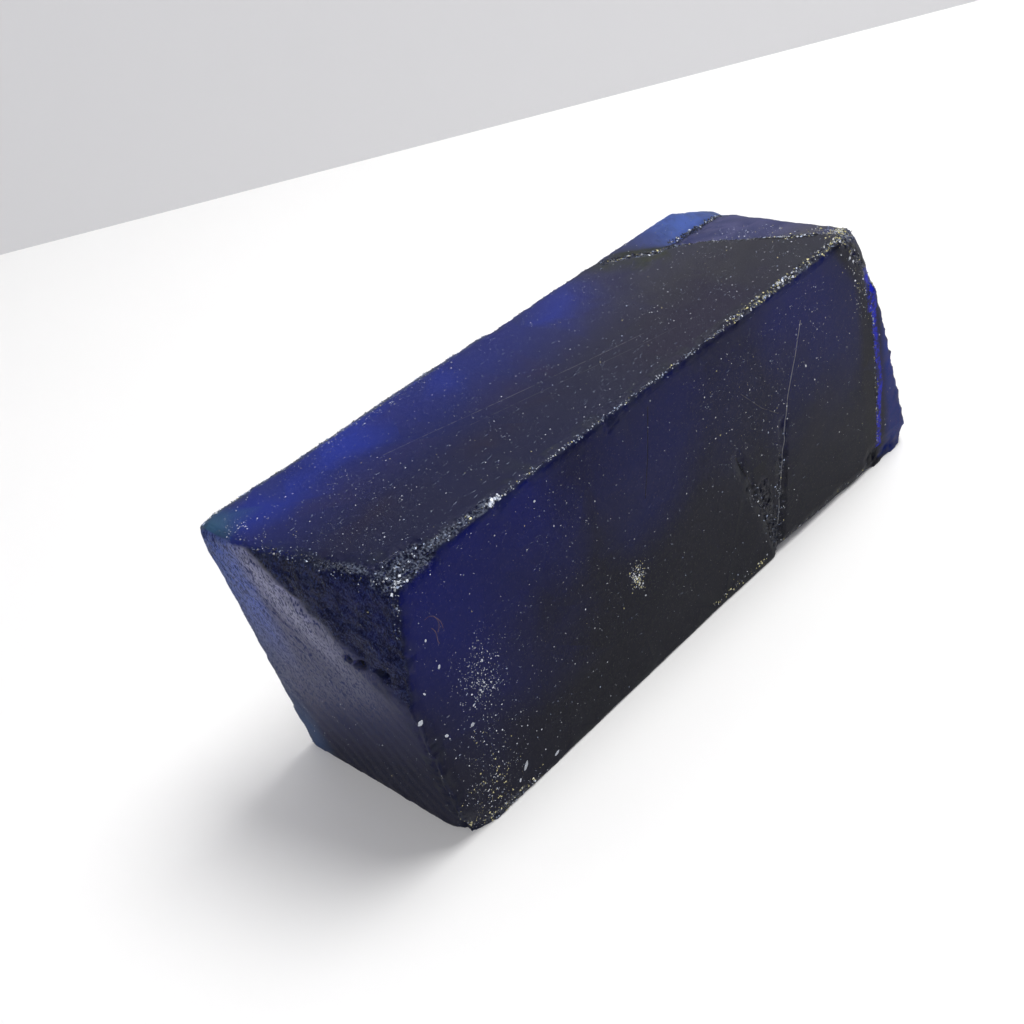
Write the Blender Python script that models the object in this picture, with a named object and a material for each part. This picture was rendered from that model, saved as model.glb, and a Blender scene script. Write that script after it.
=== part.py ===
"""Rough sapphire: one long sawn and broken block of corundum, lying on its flat underside.

The stone is cut from a larger block of stock by the planes of its faces, its broken corners are taken off
by wedges and shallow bowls, and its edges are then crumbled by noise. Lengths are in millimetres while the
stone is shaped, and the finished mesh is scaled to metres.

X runs along the stone from its broken near end, Y from the tall front face to the back, and Z is up.
"""
import math

import bmesh
import bpy
from mathutils import Matrix, Vector, noise
from mathutils.kdtree import KDTree

MM = 0.001

# Main sizes of the block, in mm.
TOP_EDGE = 80.0          # length of the sharp edge between the top and the front face
HEIGHT = 40.2
TOP_WIDTH = 27.9
BASE_WIDTH = 28.8        # the back face leans out a little towards the base
BELOW_BASE = 0.8         # stock kept under the base until the last, flat cut
FRONT_TWIST = 1.15       # how far the near foot of the front face stands out
TWIST_END = 48.0         # X where it no longer does

# Near end: a rough upper break and a smooth lower break that meet in a slanting ridge.
UPPER_BREAK_BACK = 0.32      # how fast the upper break runs out along -X towards the back
UPPER_BREAK_LEAN = 0.19      # and downwards
LOWER_BREAK_START = 0.9      # overhang of the lower break at the base, in front
LOWER_BREAK_BACK = 0.06
LOWER_BREAK_LEAN = 0.105

# Far end: a leaning break, with the top bevelled off behind a diagonal ledge.
END_TOP = 85.2               # X of the end break at the height END_TOP_Z
END_TOP_Z = 38.0
END_LEAN = 0.229             # the end runs out along +X towards the base
# Three points of the blunted corner between the top, the front face and the far end.
CORNER_CHAMFER = ((79.7, 0.0, HEIGHT), (85.5, 0.0, 31.8), (86.3, 2.4, 37.1))
LEDGE_BACK = (60.3, 26.8)    # X and Y where the ledge leaves the back edge of the top
LEDGE_BEND = (71.4, 17.8)    # where it turns
LEDGE_FRONT = (81.8, 1.6)    # and where it reaches the front corner
LEDGE_DROP = 0.9
BEVEL_CORNER = (70.0, 20.0)  # X and Y where the bevel lies that much below the top
BEVEL_FALL_X = 0.158         # the bevel falls towards the end
BEVEL_FALL_Y = 0.104         # and towards the back
RISER_FOOT = (68.8, 20.8)    # the riser that parts the bevel from the shoulder at the back
RISER_END = (87.0, 24.3)
RISER_TOP = ((70.0, 22.0, 39.35), (80.0, 23.2, 37.6))
SHOULDER_START = (62.0, 27.0, 40.3)
SHOULDER_CREST = (76.4, 27.3, 40.3)
SHOULDER_FALL = 0.45         # the shoulder then drops towards the end

# Recessed facet beside the front face at the far end.
FACET_START = 85.4
FACET_BEND = 25.0        # above this height the facet's edge leans to the near end
FACET_LEAN = 0.14
FACET_STEP = 0.6
FACET_TURN = 0.10
FACET_FOOT = 3.6
FACET_FOOT_LEAN = 0.3

# Notch under the front edge, and the flake missing above it between two cracks.
STEP_START = 60.6
STEP_END = 84.0
STEP_HEIGHT = 1.5
STEP_DEPTH = 1.6
STEP_TAPER = 0.25            # height of the notch at its far end, as a share of STEP_HEIGHT
CHIP_NEAR_SIDE = ((54.0, 0, 21.5), (60.8, 0, 1.0))
CHIP_FAR_SIDE = ((64.3, 0, 20.5), (61.2, 0, 1.0))
CHIP_DEPTH = 0.35

# Crushed corner between the top, the front face and the near end, and the edge beside it. Both are planes
# through three points.
CRUSHED_CORNER = ((5.3, 2.3, HEIGHT), (-1.2, 5.3, HEIGHT), (-0.9, 0, 38.5))
CRUSHED_EDGE = ((16, 0.3, HEIGHT), (3, 2.5, HEIGHT), (3, 0, 39.55))

# Back face: a thin slab has parted from its upper far half, and a tapering one from its near foot.
UPPER_PARTING = 0.7
UPPER_STEP = ((38, 41), (60, 17), (96, 12))      # X and Z of the slanting step it left
LOWER_PARTING = 0.9
LOWER_PARTING_START = 6.0                        # X where the lower slab runs out
LOWER_PARTING_FULL = (34.0, 5.0)                 # X and Z where it is LOWER_PARTING thick
LOWER_STEP = ((-10, 17), (46, -1))

# Unevenness of the shell-shaped scars: its size across in mm, and its height as a share of a scar's depth.
SCAR_PATCH = 5.0
SCAR_WAVE = 0.55

# Ripples of the lower break, which run from its top back corner to its front foot.
RIPPLE_ACROSS = Vector((0, 0.84, -0.55))
RIPPLE_PITCH = 2.7
RIPPLE_HEIGHT = 0.025
RIPPLE_BEND = 9.0            # size of the patches over which the ripples wander

# Natural unevenness of the faces: its height and the size of its patches, in mm.
FACE_SWELL = (0.10, 14.0)
UPPER_BREAK_GRAIN = (0.34, 2.4)
BACK_GRAIN = (0.14, 5.5)
FAR_BREAK_GRAIN = (0.30, 4.2)
STEEP = 0.85                 # least share of a normal that makes a face an end or the back

# Size of the chips along the crumbled edges: large bites, crystal blocks and crumbs.
BITE_SIZE = 2.6
BLOCK_SIZE = 0.9
CRUMB_SIZE = 1.1

SEED = Vector((13.1, 4.7, 29.3))

HAIR = 0.01              # keeps two cutters from sharing one plane
GRID = 0.62              # cell of the remeshed surface, in mm
TRIANGLES = 9400


def clear_scene():
    for old in list(bpy.data.objects):
        bpy.data.objects.remove(old, do_unlink=True)


def cut(bm, point, normal):
    """Take off everything beyond a plane and close the cut with one flat face."""
    parts = bm.verts[:] + bm.edges[:] + bm.faces[:]
    sliced = bmesh.ops.bisect_plane(
        bm, geom=parts, plane_co=point, plane_no=normal, clear_outer=True)
    rim = [item for item in sliced["geom_cut"] if isinstance(item, bmesh.types.BMEdge)]
    if rim:
        bmesh.ops.contextual_create(bm, geom=rim)


def plane_through(a, b, c, outside):
    """Point and normal of the plane through three points, facing the side of a fourth one."""
    a, b, c = Vector(a), Vector(b), Vector(c)
    normal = (b - a).cross(c - a).normalized()
    if normal.dot(Vector(outside) - a) < 0:
        normal = -normal
    return a, normal


def convex_solid(name, middle, size, planes):
    """Object made of a cube of stock that every plane in turn cuts."""
    bm = bmesh.new()
    bmesh.ops.create_cube(bm, size=size, matrix=Matrix.Translation(middle))
    for point, normal in planes:
        cut(bm, point, normal)
    bmesh.ops.recalc_face_normals(bm, faces=bm.faces)
    return object_from(bm, name)


def object_from(bm, name):
    mesh = bpy.data.meshes.new(name)
    bm.to_mesh(mesh)
    bm.free()
    obj = bpy.data.objects.new(name, mesh)
    bpy.context.scene.collection.objects.link(obj)
    return obj


def upper_break(y, z):
    """X of the rough upper break at the near end."""
    return -UPPER_BREAK_BACK * y + UPPER_BREAK_LEAN * (z - HEIGHT)


def lower_break(y, z):
    """X of the smooth lower break at the near end."""
    return -LOWER_BREAK_START - LOWER_BREAK_BACK * y - LOWER_BREAK_LEAN * z


def end_break(z):
    """X of the break at the far end."""
    return END_TOP + END_LEAN * (END_TOP_Z - z)


def bevel_height(x, y):
    """Height of the bevelled corner at the far end of the top."""
    foot_x, foot_y = BEVEL_CORNER
    start = HEIGHT - LEDGE_DROP
    return start - BEVEL_FALL_X * (x - foot_x) - BEVEL_FALL_Y * (y - foot_y)


def main_planes():
    """The faces that bound the block as a whole."""
    back_top = (0, TOP_WIDTH, HEIGHT)
    back_top_end = (TOP_EDGE, TOP_WIDTH, HEIGHT)
    back_base = (0, BASE_WIDTH, 0)
    near = (-100, 10, 20)
    far = (200, 10, 20)
    return [
        (Vector((0, 0, HEIGHT)), Vector((0, 0, 1))),
        (Vector((0, 0, -BELOW_BASE)), Vector((0, 0, -1))),
        (Vector((0, 0, 0)), Vector((0, -1, 0))),
        plane_through(back_top, back_top_end, back_base, (0, 100, 20)),
        plane_through(*[(upper_break(y, z), y, z) for y, z in ((0, 40), (20, 40), (0, 20))], near),
        plane_through(*[(lower_break(y, z), y, z) for y, z in ((0, 0), (20, 0), (0, 20))], near),
        plane_through(*[(end_break(z), y, z) for y, z in ((0, 0), (20, 0), (0, 20))], far),
        plane_through(*CORNER_CHAMFER, (90, -10, 45)),
    ]


def upright_plane(start, end, outside):
    """Vertical plane over a line that is given by X and Y."""
    a, b = Vector((*start, HEIGHT)), Vector((*end, HEIGHT))
    return plane_through(a, b, a + Vector((0, 0, 5)), outside)


def bevel_cutter():
    """Wedge over the bevelled corner, between the ledge and the riser."""
    below = [(x, y, bevel_height(x, y)) for x, y in ((60, 0), (90, 0), (60, 30))]
    return convex_solid("bevel_cutter", (80, 12, HEIGHT), 60, [
        upright_plane(LEDGE_BEND, LEDGE_FRONT, (0, 0, HEIGHT)),
        upright_plane(RISER_FOOT, RISER_END, (60, 60, HEIGHT)),
        plane_through(*below, (80, 10, 0)),
    ])


def shoulder_cutters():
    """Wedges over the shoulder at the back, which stands a little above the bevel."""
    start = Vector(SHOULDER_START)
    crest = Vector(SHOULDER_CREST)
    foot = Vector((*RISER_FOOT, HEIGHT - LEDGE_DROP))
    ledge = upright_plane(LEDGE_BACK, LEDGE_BEND, (0, 0, HEIGHT))
    foot_line = [Vector(RISER_FOOT), Vector(RISER_END)]
    risers = [upright_plane(*[spot - Vector((0, HAIR * number)) for spot in foot_line], (90, 0, HEIGHT))
              for number in (1, 2, 3)]
    across = crest + Vector((0, 10, 0))
    down = crest + Vector((10, 0, -10 * SHOULDER_FALL))
    inside = (75, 25, 0)
    return [
        convex_solid("shoulder_cutter", (80, 25, HEIGHT), 60,
                     [ledge, risers[0], plane_through(start, crest, foot, inside)]),
        convex_solid("shoulder_side_cutter", (80, 25, HEIGHT), 60,
                     [risers[1], plane_through(*RISER_TOP, crest, inside)]),
        convex_solid("shoulder_end_cutter", (80, 25, HEIGHT), 60,
                     [risers[2], plane_through(crest, across, down, inside)]),
    ]


def facet_cutters():
    """Slabs that set the facet beside the front face back, behind a small step."""
    step = Vector((FACET_START, FACET_STEP, 0))
    inner = plane_through(step, step + Vector((10, 10 * FACET_TURN, 0)), step + Vector((0, 0, 1)), (90, 50, 0))
    upper_inner = (inner[0] + Vector((0, HAIR, 0)), inner[1])
    foot = (Vector((0, 0, FACET_FOOT)), Vector((FACET_FOOT_LEAN, 0, -1)).normalized())
    leaning = (Vector((FACET_START, 0, FACET_BEND)), Vector((-1, 0, -FACET_LEAN)).normalized())
    return [
        convex_solid("facet_cutter", (95, -5, 20), 60, [(step, Vector((-1, 0, 0))), inner, foot]),
        convex_solid("upper_facet_cutter", (95, -5, 30), 60, [leaning, upper_inner, foot]),
    ]


def step_cutter():
    """Long sliver under the front edge, deepest at its near end."""
    near_top = (STEP_START, 0, STEP_HEIGHT)
    far_top = (STEP_END, 0, STEP_HEIGHT * STEP_TAPER)
    inner = (STEP_START, STEP_DEPTH, 0)
    return convex_solid("step_cutter", (75, 0, 0), 40, [
        plane_through(near_top, far_top, inner, (75, 20, 20)),
        (Vector((STEP_START, 0, 0)), Vector((-1, 0, 0))),
        (Vector((STEP_END, 0, 0)), Vector((1, 0, 0))),
    ])


def chip_cutter():
    """Thin flake missing from the front face beside the hairline crack, deepest at its foot."""
    near_top, near_foot = (Vector(spot) for spot in CHIP_NEAR_SIDE)
    far_top, far_foot = (Vector(spot) for spot in CHIP_FAR_SIDE)
    inward = Vector((0, 1, 0))
    return convex_solid("chip_cutter", (60, 0, 12), 40, [
        plane_through(near_top, far_top, far_foot + CHIP_DEPTH * inward, (60, 20, 12)),
        plane_through(near_top, near_foot, near_top + inward, (40, 0, 0)),
        plane_through(far_top, far_foot, far_top + inward, (80, 0, 0)),
    ])


def back_face(depth, z):
    """Y of a plane that lies `depth` inside the back face, at a height."""
    return BASE_WIDTH - (BASE_WIDTH - TOP_WIDTH) * z / HEIGHT - depth


def parting_cutters():
    """Thin slabs that have parted from the back face, each up to a slanting step."""
    inward = Vector((0, -1, 0))
    upper = [(x, back_face(UPPER_PARTING, z), z) for x, z in ((0, 0), (0, HEIGHT), (TOP_EDGE, 0))]
    lower = [(LOWER_PARTING_START, back_face(0, z), z) for z in (0, HEIGHT)]
    full_x, full_z = LOWER_PARTING_FULL
    lower.append((full_x, back_face(LOWER_PARTING, full_z), full_z))
    step_start, step_bend, step_end = (Vector((x, 0, z)) for x, z in UPPER_STEP)
    foot_start, foot_end = (Vector((x, 0, z)) for x, z in LOWER_STEP)
    return [
        convex_solid("upper_parting", (70, 40, 20), 120, [
            plane_through(*upper, (40, 0, 20)),
            plane_through(step_start, step_bend, step_start + inward, (0, 0, 0)),
            plane_through(step_bend, step_end, step_bend + inward, (60, 0, 0)),
        ]),
        convex_solid("lower_parting", (10, 40, 0), 120, [
            plane_through(*lower, (40, 0, 20)),
            plane_through(foot_start, foot_end, foot_start + inward, (20, 0, 40)),
        ]),
    ]


def crushed_corner_cutters():
    """Wedges over the crushed corner of the near end and over the edge beside it."""
    corner, inside = (0, 0, HEIGHT), (20, 20, 20)
    return [
        convex_solid("corner_cutter", corner, 50, [plane_through(*CRUSHED_CORNER, inside)]),
        convex_solid("edge_cutter", corner, 50, [plane_through(*CRUSHED_EDGE, inside)]),
    ]


def bowl_cutter(name, centre, radius, squash=(1, 1, 1)):
    """Rounded cutter for a shell-shaped chip."""
    bm = bmesh.new()
    bmesh.ops.create_icosphere(bm, subdivisions=4, radius=radius)
    bmesh.ops.scale(bm, vec=squash, verts=bm.verts)
    bmesh.ops.translate(bm, vec=centre, verts=bm.verts)
    return object_from(bm, name)


def shallow_bowl(name, rim_middle, outward, radius, depth):
    """Uneven bowl cut about `depth` deep where the surface faces `outward`."""
    centre = Vector(rim_middle) + Vector(outward).normalized() * (radius - depth)
    bowl = bowl_cutter(name, centre, radius)
    for vert in bowl.data.vertices:
        seed = vert.co / SCAR_PATCH + SEED
        vert.co += (vert.co - centre).normalized() * depth * SCAR_WAVE * noise.noise(seed)
    return bowl


def pits_and_scars():
    """Small pits, nicks in the edges and the larger shell-shaped scars."""
    back = TOP_WIDTH
    ridge_pits = [
        bowl_cutter("ridge_pit_%d" % number, (lower_break(y, z) + 0.1, y, z), size, (1, 1, 0.8))
        for number, (y, z, size) in enumerate(((6.4, 29.4, 0.85), (5.2, 28.8, 1.0), (3.4, 27.6, 1.1)))
    ]
    nicks = [
        bowl_cutter("front_edge_nick", (33.3, -0.1, HEIGHT + 0.1), 1.0),
        bowl_cutter("front_edge_chip", (15.3, -0.4, HEIGHT + 0.3), 1.2),
        bowl_cutter("back_edge_nick", (35.7, back + 0.5, HEIGHT + 0.2), 1.0),
        bowl_cutter("ledge_notch", (60.6, back + 0.6, HEIGHT + 0.3), 1.7, (1.3, 1, 1)),
        bowl_cutter("riser_notch", (84.4, 24.0, 37.2), 0.9),
        bowl_cutter("far_foot_chip", (95.4, -1.6, 0.3), 3.3, (1.3, 1, 1.1)),
    ]
    scars = [
        shallow_bowl("back_foot_scar", (23, BASE_WIDTH, 2), (0, 1, -0.3), 17, 1.6),
        shallow_bowl("back_foot_flake", (31, BASE_WIDTH, 1), (0.2, 1, -0.5), 13, 1.2),
        shallow_bowl("back_middle_scar", (52, back_face(0, 8), 8), (0.1, 1, 0), 34, 0.8),
        shallow_bowl("back_middle_flake", (61, back_face(0, 3), 3), (0, 1, -0.2), 14, 1.0),
        shallow_bowl("back_end_scar", (90, BASE_WIDTH, 13), (1, 0.9, -0.1), 26, 2.4),
        shallow_bowl("end_scar", (89, 11, 21), (1, -0.1, 0.25), 30, 1.0),
        shallow_bowl("lower_break_scar", (-3.0, 10, 11), (-1, 0, -0.1), 60, 0.45),
    ]
    return ridge_pits + nicks + scars


def subtract(stone, cutters):
    for cutter in cutters:
        cutter.hide_render = True
        cutter.display_type = "WIRE"
        carve = stone.modifiers.new(cutter.name, "BOOLEAN")
        carve.operation = "DIFFERENCE"
        carve.solver = "EXACT"
        carve.object = cutter


def bake(obj):
    """Put the result of the object's modifiers in its mesh."""
    shaped = bpy.data.meshes.new_from_object(obj.evaluated_get(bpy.context.evaluated_depsgraph_get()))
    obj.modifiers.clear()
    obj.data = shaped


def sharp_edge_tree(mesh, least_turn=math.radians(14), pitch=0.4):
    """Tree of points along the edges where two faces meet at an angle, with that edge's middle."""
    bm = bmesh.new()
    bm.from_mesh(mesh)
    spots = []
    for edge in bm.edges:
        if len(edge.link_faces) == 2 and edge.calc_face_angle(0) > least_turn:
            a, b = (vert.co for vert in edge.verts)
            count = max(1, math.ceil(edge.calc_length() / pitch))
            spots += [a.lerp(b, (step + 0.5) / count) for step in range(count)]
    bm.free()
    tree = KDTree(len(spots))
    for index, spot in enumerate(spots):
        tree.insert(spot, index)
    tree.balance()
    return tree


def ease(value):
    """Smooth step from 0 to 1."""
    value = min(1.0, max(0.0, value))
    return value * value * (3 - 2 * value)


def near_segment(spot, a, b):
    """Distance from a point to a segment."""
    a, b = Vector(a), Vector(b)
    along = b - a
    share = min(1.0, max(0.0, (spot - a).dot(along) / along.length_squared))
    return (spot - (a + along * share)).length


# Edges that are crushed to a wide crumbling band: ends, reach of the band and depth of its chips, in mm.
CRUSHED_EDGES = (
    ((-0.5, 0.5, 39.5), (5, 0.8, HEIGHT), 2.8, 0.6),
    ((0, 3, HEIGHT), (-5.5, 17.5, HEIGHT), 1.6, 0.4),
    ((56, 0, HEIGHT), (80, 0, HEIGHT), 1.4, 0.45),
    ((79.5, 0, HEIGHT), (85, 0, 31.8), 1.4, 0.35),
    ((84.2, 4.2, 38.6), (85.2, 3.2, 37.9), 1.9, 0.8),
    ((-0.6, -1, -1.5), (-3, 0, 24), 1.7, 0.5),
    ((-1, -1, -1), (1, -1, -1), 2.0, 0.5),
    ((84, 0, 2), (93, 1, 1.5), 2.6, 0.8),
    ((60.4, 26.6, HEIGHT), (71, 18, HEIGHT), 1.3, 0.4),
    ((42, TOP_WIDTH, 37), (51, TOP_WIDTH, 27), 1.8, 0.5),
    ((66, BASE_WIDTH, 16), (86, BASE_WIDTH, 13), 1.6, 0.4),
    ((14, BASE_WIDTH, 9), (28, BASE_WIDTH, 4.5), 1.7, 0.5),
)
EDGE_REACH = 1.3         # band of every other edge
EDGE_CHIP = 0.42


def crumble_depth(spot, edge_gap):
    """Depth that is broken away at a point of the surface."""
    reach, chip = EDGE_REACH, EDGE_CHIP
    share = ease(1 - edge_gap / reach)
    for start, end, wide, deep in CRUSHED_EDGES:
        gap = near_segment(spot, start, end)
        if gap < wide:
            share = max(share, ease(1 - gap / wide) * deep / chip)
    if share <= 0:
        return 0.0
    seed = spot + SEED
    bites = noise.noise(seed / BITE_SIZE) * 0.5 + 0.5
    crumbs = noise.cell(seed / BLOCK_SIZE) * 0.5 + noise.noise(seed / CRUMB_SIZE) * 0.35
    return chip * share * max(0.0, 0.15 + bites * 0.7 + crumbs * 0.55)


def grain(spot, height, patch):
    """Height of a grainy surface at a point."""
    return height * noise.fractal((spot + SEED) / patch, 1.0, 2.1, 3)


def ripples(spot):
    """Height of the ripples of the lower break at a point."""
    turns = spot.dot(RIPPLE_ACROSS) / RIPPLE_PITCH
    return RIPPLE_HEIGHT * math.sin(2 * math.pi * turns + 3 * noise.noise((spot + SEED) / RIPPLE_BEND))


def front_twist(spot, normal):
    """How far the slightly twisted front face stands out at a point."""
    facing = ease((-normal.y - 0.5) / 0.4)
    return FRONT_TWIST * facing * (1 - spot.z / HEIGHT) * max(0.0, 1 - spot.x / TWIST_END)


def roughness_of_face(spot, normal):
    """Height of the natural unevenness at a point, by the kind of face it is on."""
    height, patch = FACE_SWELL
    swell = height * noise.noise((spot + SEED) / patch) + front_twist(spot, normal)
    if normal.x < -STEEP:
        on_upper_break = spot.x - upper_break(spot.y, spot.z) < 0.7
        swell += grain(spot, *UPPER_BREAK_GRAIN) if on_upper_break else ripples(spot)
    if normal.y > STEEP:
        swell += grain(spot, *BACK_GRAIN)
    if normal.x > STEEP:
        swell += grain(spot, *FAR_BREAK_GRAIN)
    return swell


def weather(stone, tree):
    """Break the edges and give each face its own unevenness."""
    bm = bmesh.new()
    bm.from_mesh(stone.data)
    bm.normal_update()
    moves = []
    for vert in bm.verts:
        _, _, gap = tree.find(vert.co)
        depth = crumble_depth(vert.co, gap)
        moves.append(vert.normal * (roughness_of_face(vert.co, vert.normal) - depth))
    for vert, move in zip(bm.verts, moves):
        vert.co += move
    bm.to_mesh(stone.data)
    bm.free()


def finish(stone):
    """Cut the base flat, set the origin under the middle of the stone and scale it to metres."""
    bm = bmesh.new()
    bm.from_mesh(stone.data)
    cut(bm, Vector((0, 0, 0)), Vector((0, 0, -1)))
    bmesh.ops.dissolve_degenerate(bm, dist=0.02, edges=bm.edges)
    bmesh.ops.triangulate(bm, faces=bm.faces)
    lows = [min(vert.co[axis] for vert in bm.verts) for axis in range(3)]
    highs = [max(vert.co[axis] for vert in bm.verts) for axis in range(3)]
    middle = Vector(((lows[0] + highs[0]) / 2, (lows[1] + highs[1]) / 2, 0))
    bmesh.ops.translate(bm, vec=-middle, verts=bm.verts)
    bmesh.ops.scale(bm, vec=(MM, MM, MM), verts=bm.verts)
    bmesh.ops.recalc_face_normals(bm, faces=bm.faces)
    bm.to_mesh(stone.data)
    bm.free()
    return middle


def sapphire_material():
    material = bpy.data.materials.new("sapphire")
    material.use_nodes = True
    shader = material.node_tree.nodes["Principled BSDF"]
    shader.inputs["Base Color"].default_value = (0.012, 0.016, 0.075, 1)
    shader.inputs["Roughness"].default_value = 0.45
    shader.inputs["Metallic"].default_value = 0.0
    shader.inputs["IOR"].default_value = 1.77
    return material


def build():
    clear_scene()
    stone = convex_solid("rough_sapphire", (42, 14, 20), 130, main_planes())
    cutters = [bevel_cutter(), *shoulder_cutters(), *facet_cutters(), step_cutter(), chip_cutter()]
    cutters += crushed_corner_cutters() + parting_cutters() + pits_and_scars()
    subtract(stone, cutters)
    bake(stone)
    for cutter in cutters:
        bpy.data.objects.remove(cutter, do_unlink=True)
    tree = sharp_edge_tree(stone.data)

    remesh = stone.modifiers.new("grid", "REMESH")
    remesh.mode = "VOXEL"
    remesh.voxel_size = GRID
    bake(stone)
    weather(stone, tree)

    thin = stone.modifiers.new("thin", "DECIMATE")
    thin.ratio = TRIANGLES / (2 * len(stone.data.polygons))
    bake(stone)
    finish(stone)
    stone.data.materials.clear()
    stone.data.materials.append(sapphire_material())


build()
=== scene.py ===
"""Looks of the rough sapphire: its fine surface, its dark blue body, its dust, and a pale studio.

Places on the stone are given in millimetres from the foot of its near front corner, as in the part's own
source: X along the stone, Y from the front face to the back, Z up. The function spot() turns them into the
row frame, in metres.
"""
import math
import random

import bmesh
import bpy
import numpy as np
from mathutils import Matrix, Quaternion, Vector, noise
from mathutils.bvhtree import BVHTree
from mathutils.kdtree import KDTree


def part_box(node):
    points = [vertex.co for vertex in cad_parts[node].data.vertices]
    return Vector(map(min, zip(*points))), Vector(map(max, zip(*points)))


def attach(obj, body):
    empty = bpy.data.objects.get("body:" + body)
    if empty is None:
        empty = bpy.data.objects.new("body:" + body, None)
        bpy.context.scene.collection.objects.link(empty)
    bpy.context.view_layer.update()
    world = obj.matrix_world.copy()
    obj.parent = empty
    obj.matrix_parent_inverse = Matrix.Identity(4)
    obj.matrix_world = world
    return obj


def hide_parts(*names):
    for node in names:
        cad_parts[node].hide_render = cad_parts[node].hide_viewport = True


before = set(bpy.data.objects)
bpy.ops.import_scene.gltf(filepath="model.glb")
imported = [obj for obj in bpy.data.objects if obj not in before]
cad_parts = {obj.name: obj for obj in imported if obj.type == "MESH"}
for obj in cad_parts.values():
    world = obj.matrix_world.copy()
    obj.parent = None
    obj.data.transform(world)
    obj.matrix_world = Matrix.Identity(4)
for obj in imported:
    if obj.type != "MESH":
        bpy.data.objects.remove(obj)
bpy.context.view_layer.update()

MM = 0.001
STONE = "rough_sapphire"
LOW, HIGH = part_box(STONE)
NEAR_OVERHANG = 6.635        # the near end's furthest point lies this far before the front corner, in mm
FRONT_SWELL = 1.149          # and the twisted front face's this far before the plane of its top edge


def spot(x, y, z):
    """Row-frame point of a place on the stone that is given in mm from its near front foot."""
    return Vector((LOW.x + (x + NEAR_OVERHANG) * MM, LOW.y + (y + FRONT_SWELL) * MM, z * MM))


# -------------------- camera

FRAME_PIXELS = 1024
FOCAL_PIXELS = 1400
CAMERA_PLACE = (-58.0, -98.6, 127.5)     # as a place on the stone, in mm
CAMERA_HEADING = math.radians(37.14)     # from +Y towards +X
CAMERA_PITCH = math.radians(36.10)       # below the horizon
CAMERA_ROLL = math.radians(13.42)
NEAREST_SEEN = 0.005                     # m


def add_camera():
    data = bpy.data.cameras.new("camera")
    data.lens = FOCAL_PIXELS / FRAME_PIXELS * data.sensor_width
    data.clip_start = NEAREST_SEEN
    camera = bpy.data.objects.new("camera", data)
    camera.matrix_world = (
        Matrix.Translation(spot(*CAMERA_PLACE))
        @ Matrix.Rotation(-CAMERA_HEADING, 4, "Z")
        @ Matrix.Rotation(math.pi / 2 - CAMERA_PITCH, 4, "X")
        @ Matrix.Rotation(-CAMERA_ROLL, 4, "Z"))
    bpy.context.scene.collection.objects.link(camera)
    bpy.context.scene.camera = camera


# -------------------- small helpers

def link_object(name, mesh):
    obj = bpy.data.objects.new(name, mesh)
    bpy.context.scene.collection.objects.link(obj)
    return obj


def bake(obj):
    """Put the result of the object's modifiers in its mesh."""
    shaped = bpy.data.meshes.new_from_object(obj.evaluated_get(bpy.context.evaluated_depsgraph_get()))
    obj.modifiers.clear()
    obj.data = shaped


def ease(value):
    """Smooth step from 0 to 1, on numbers or arrays."""
    value = np.clip(value, 0.0, 1.0)
    return value * value * (3 - 2 * value)


def step(value, low, high, out_low=0.0, out_high=1.0):
    """Smooth step of an array between two limits, as a column that scales a colour."""
    return (out_low + (out_high - out_low) * ease((value - low) / (high - low)))[:, None]


SOLID_CORE = 0.4             # share of a line's half width that is fully covered


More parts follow.
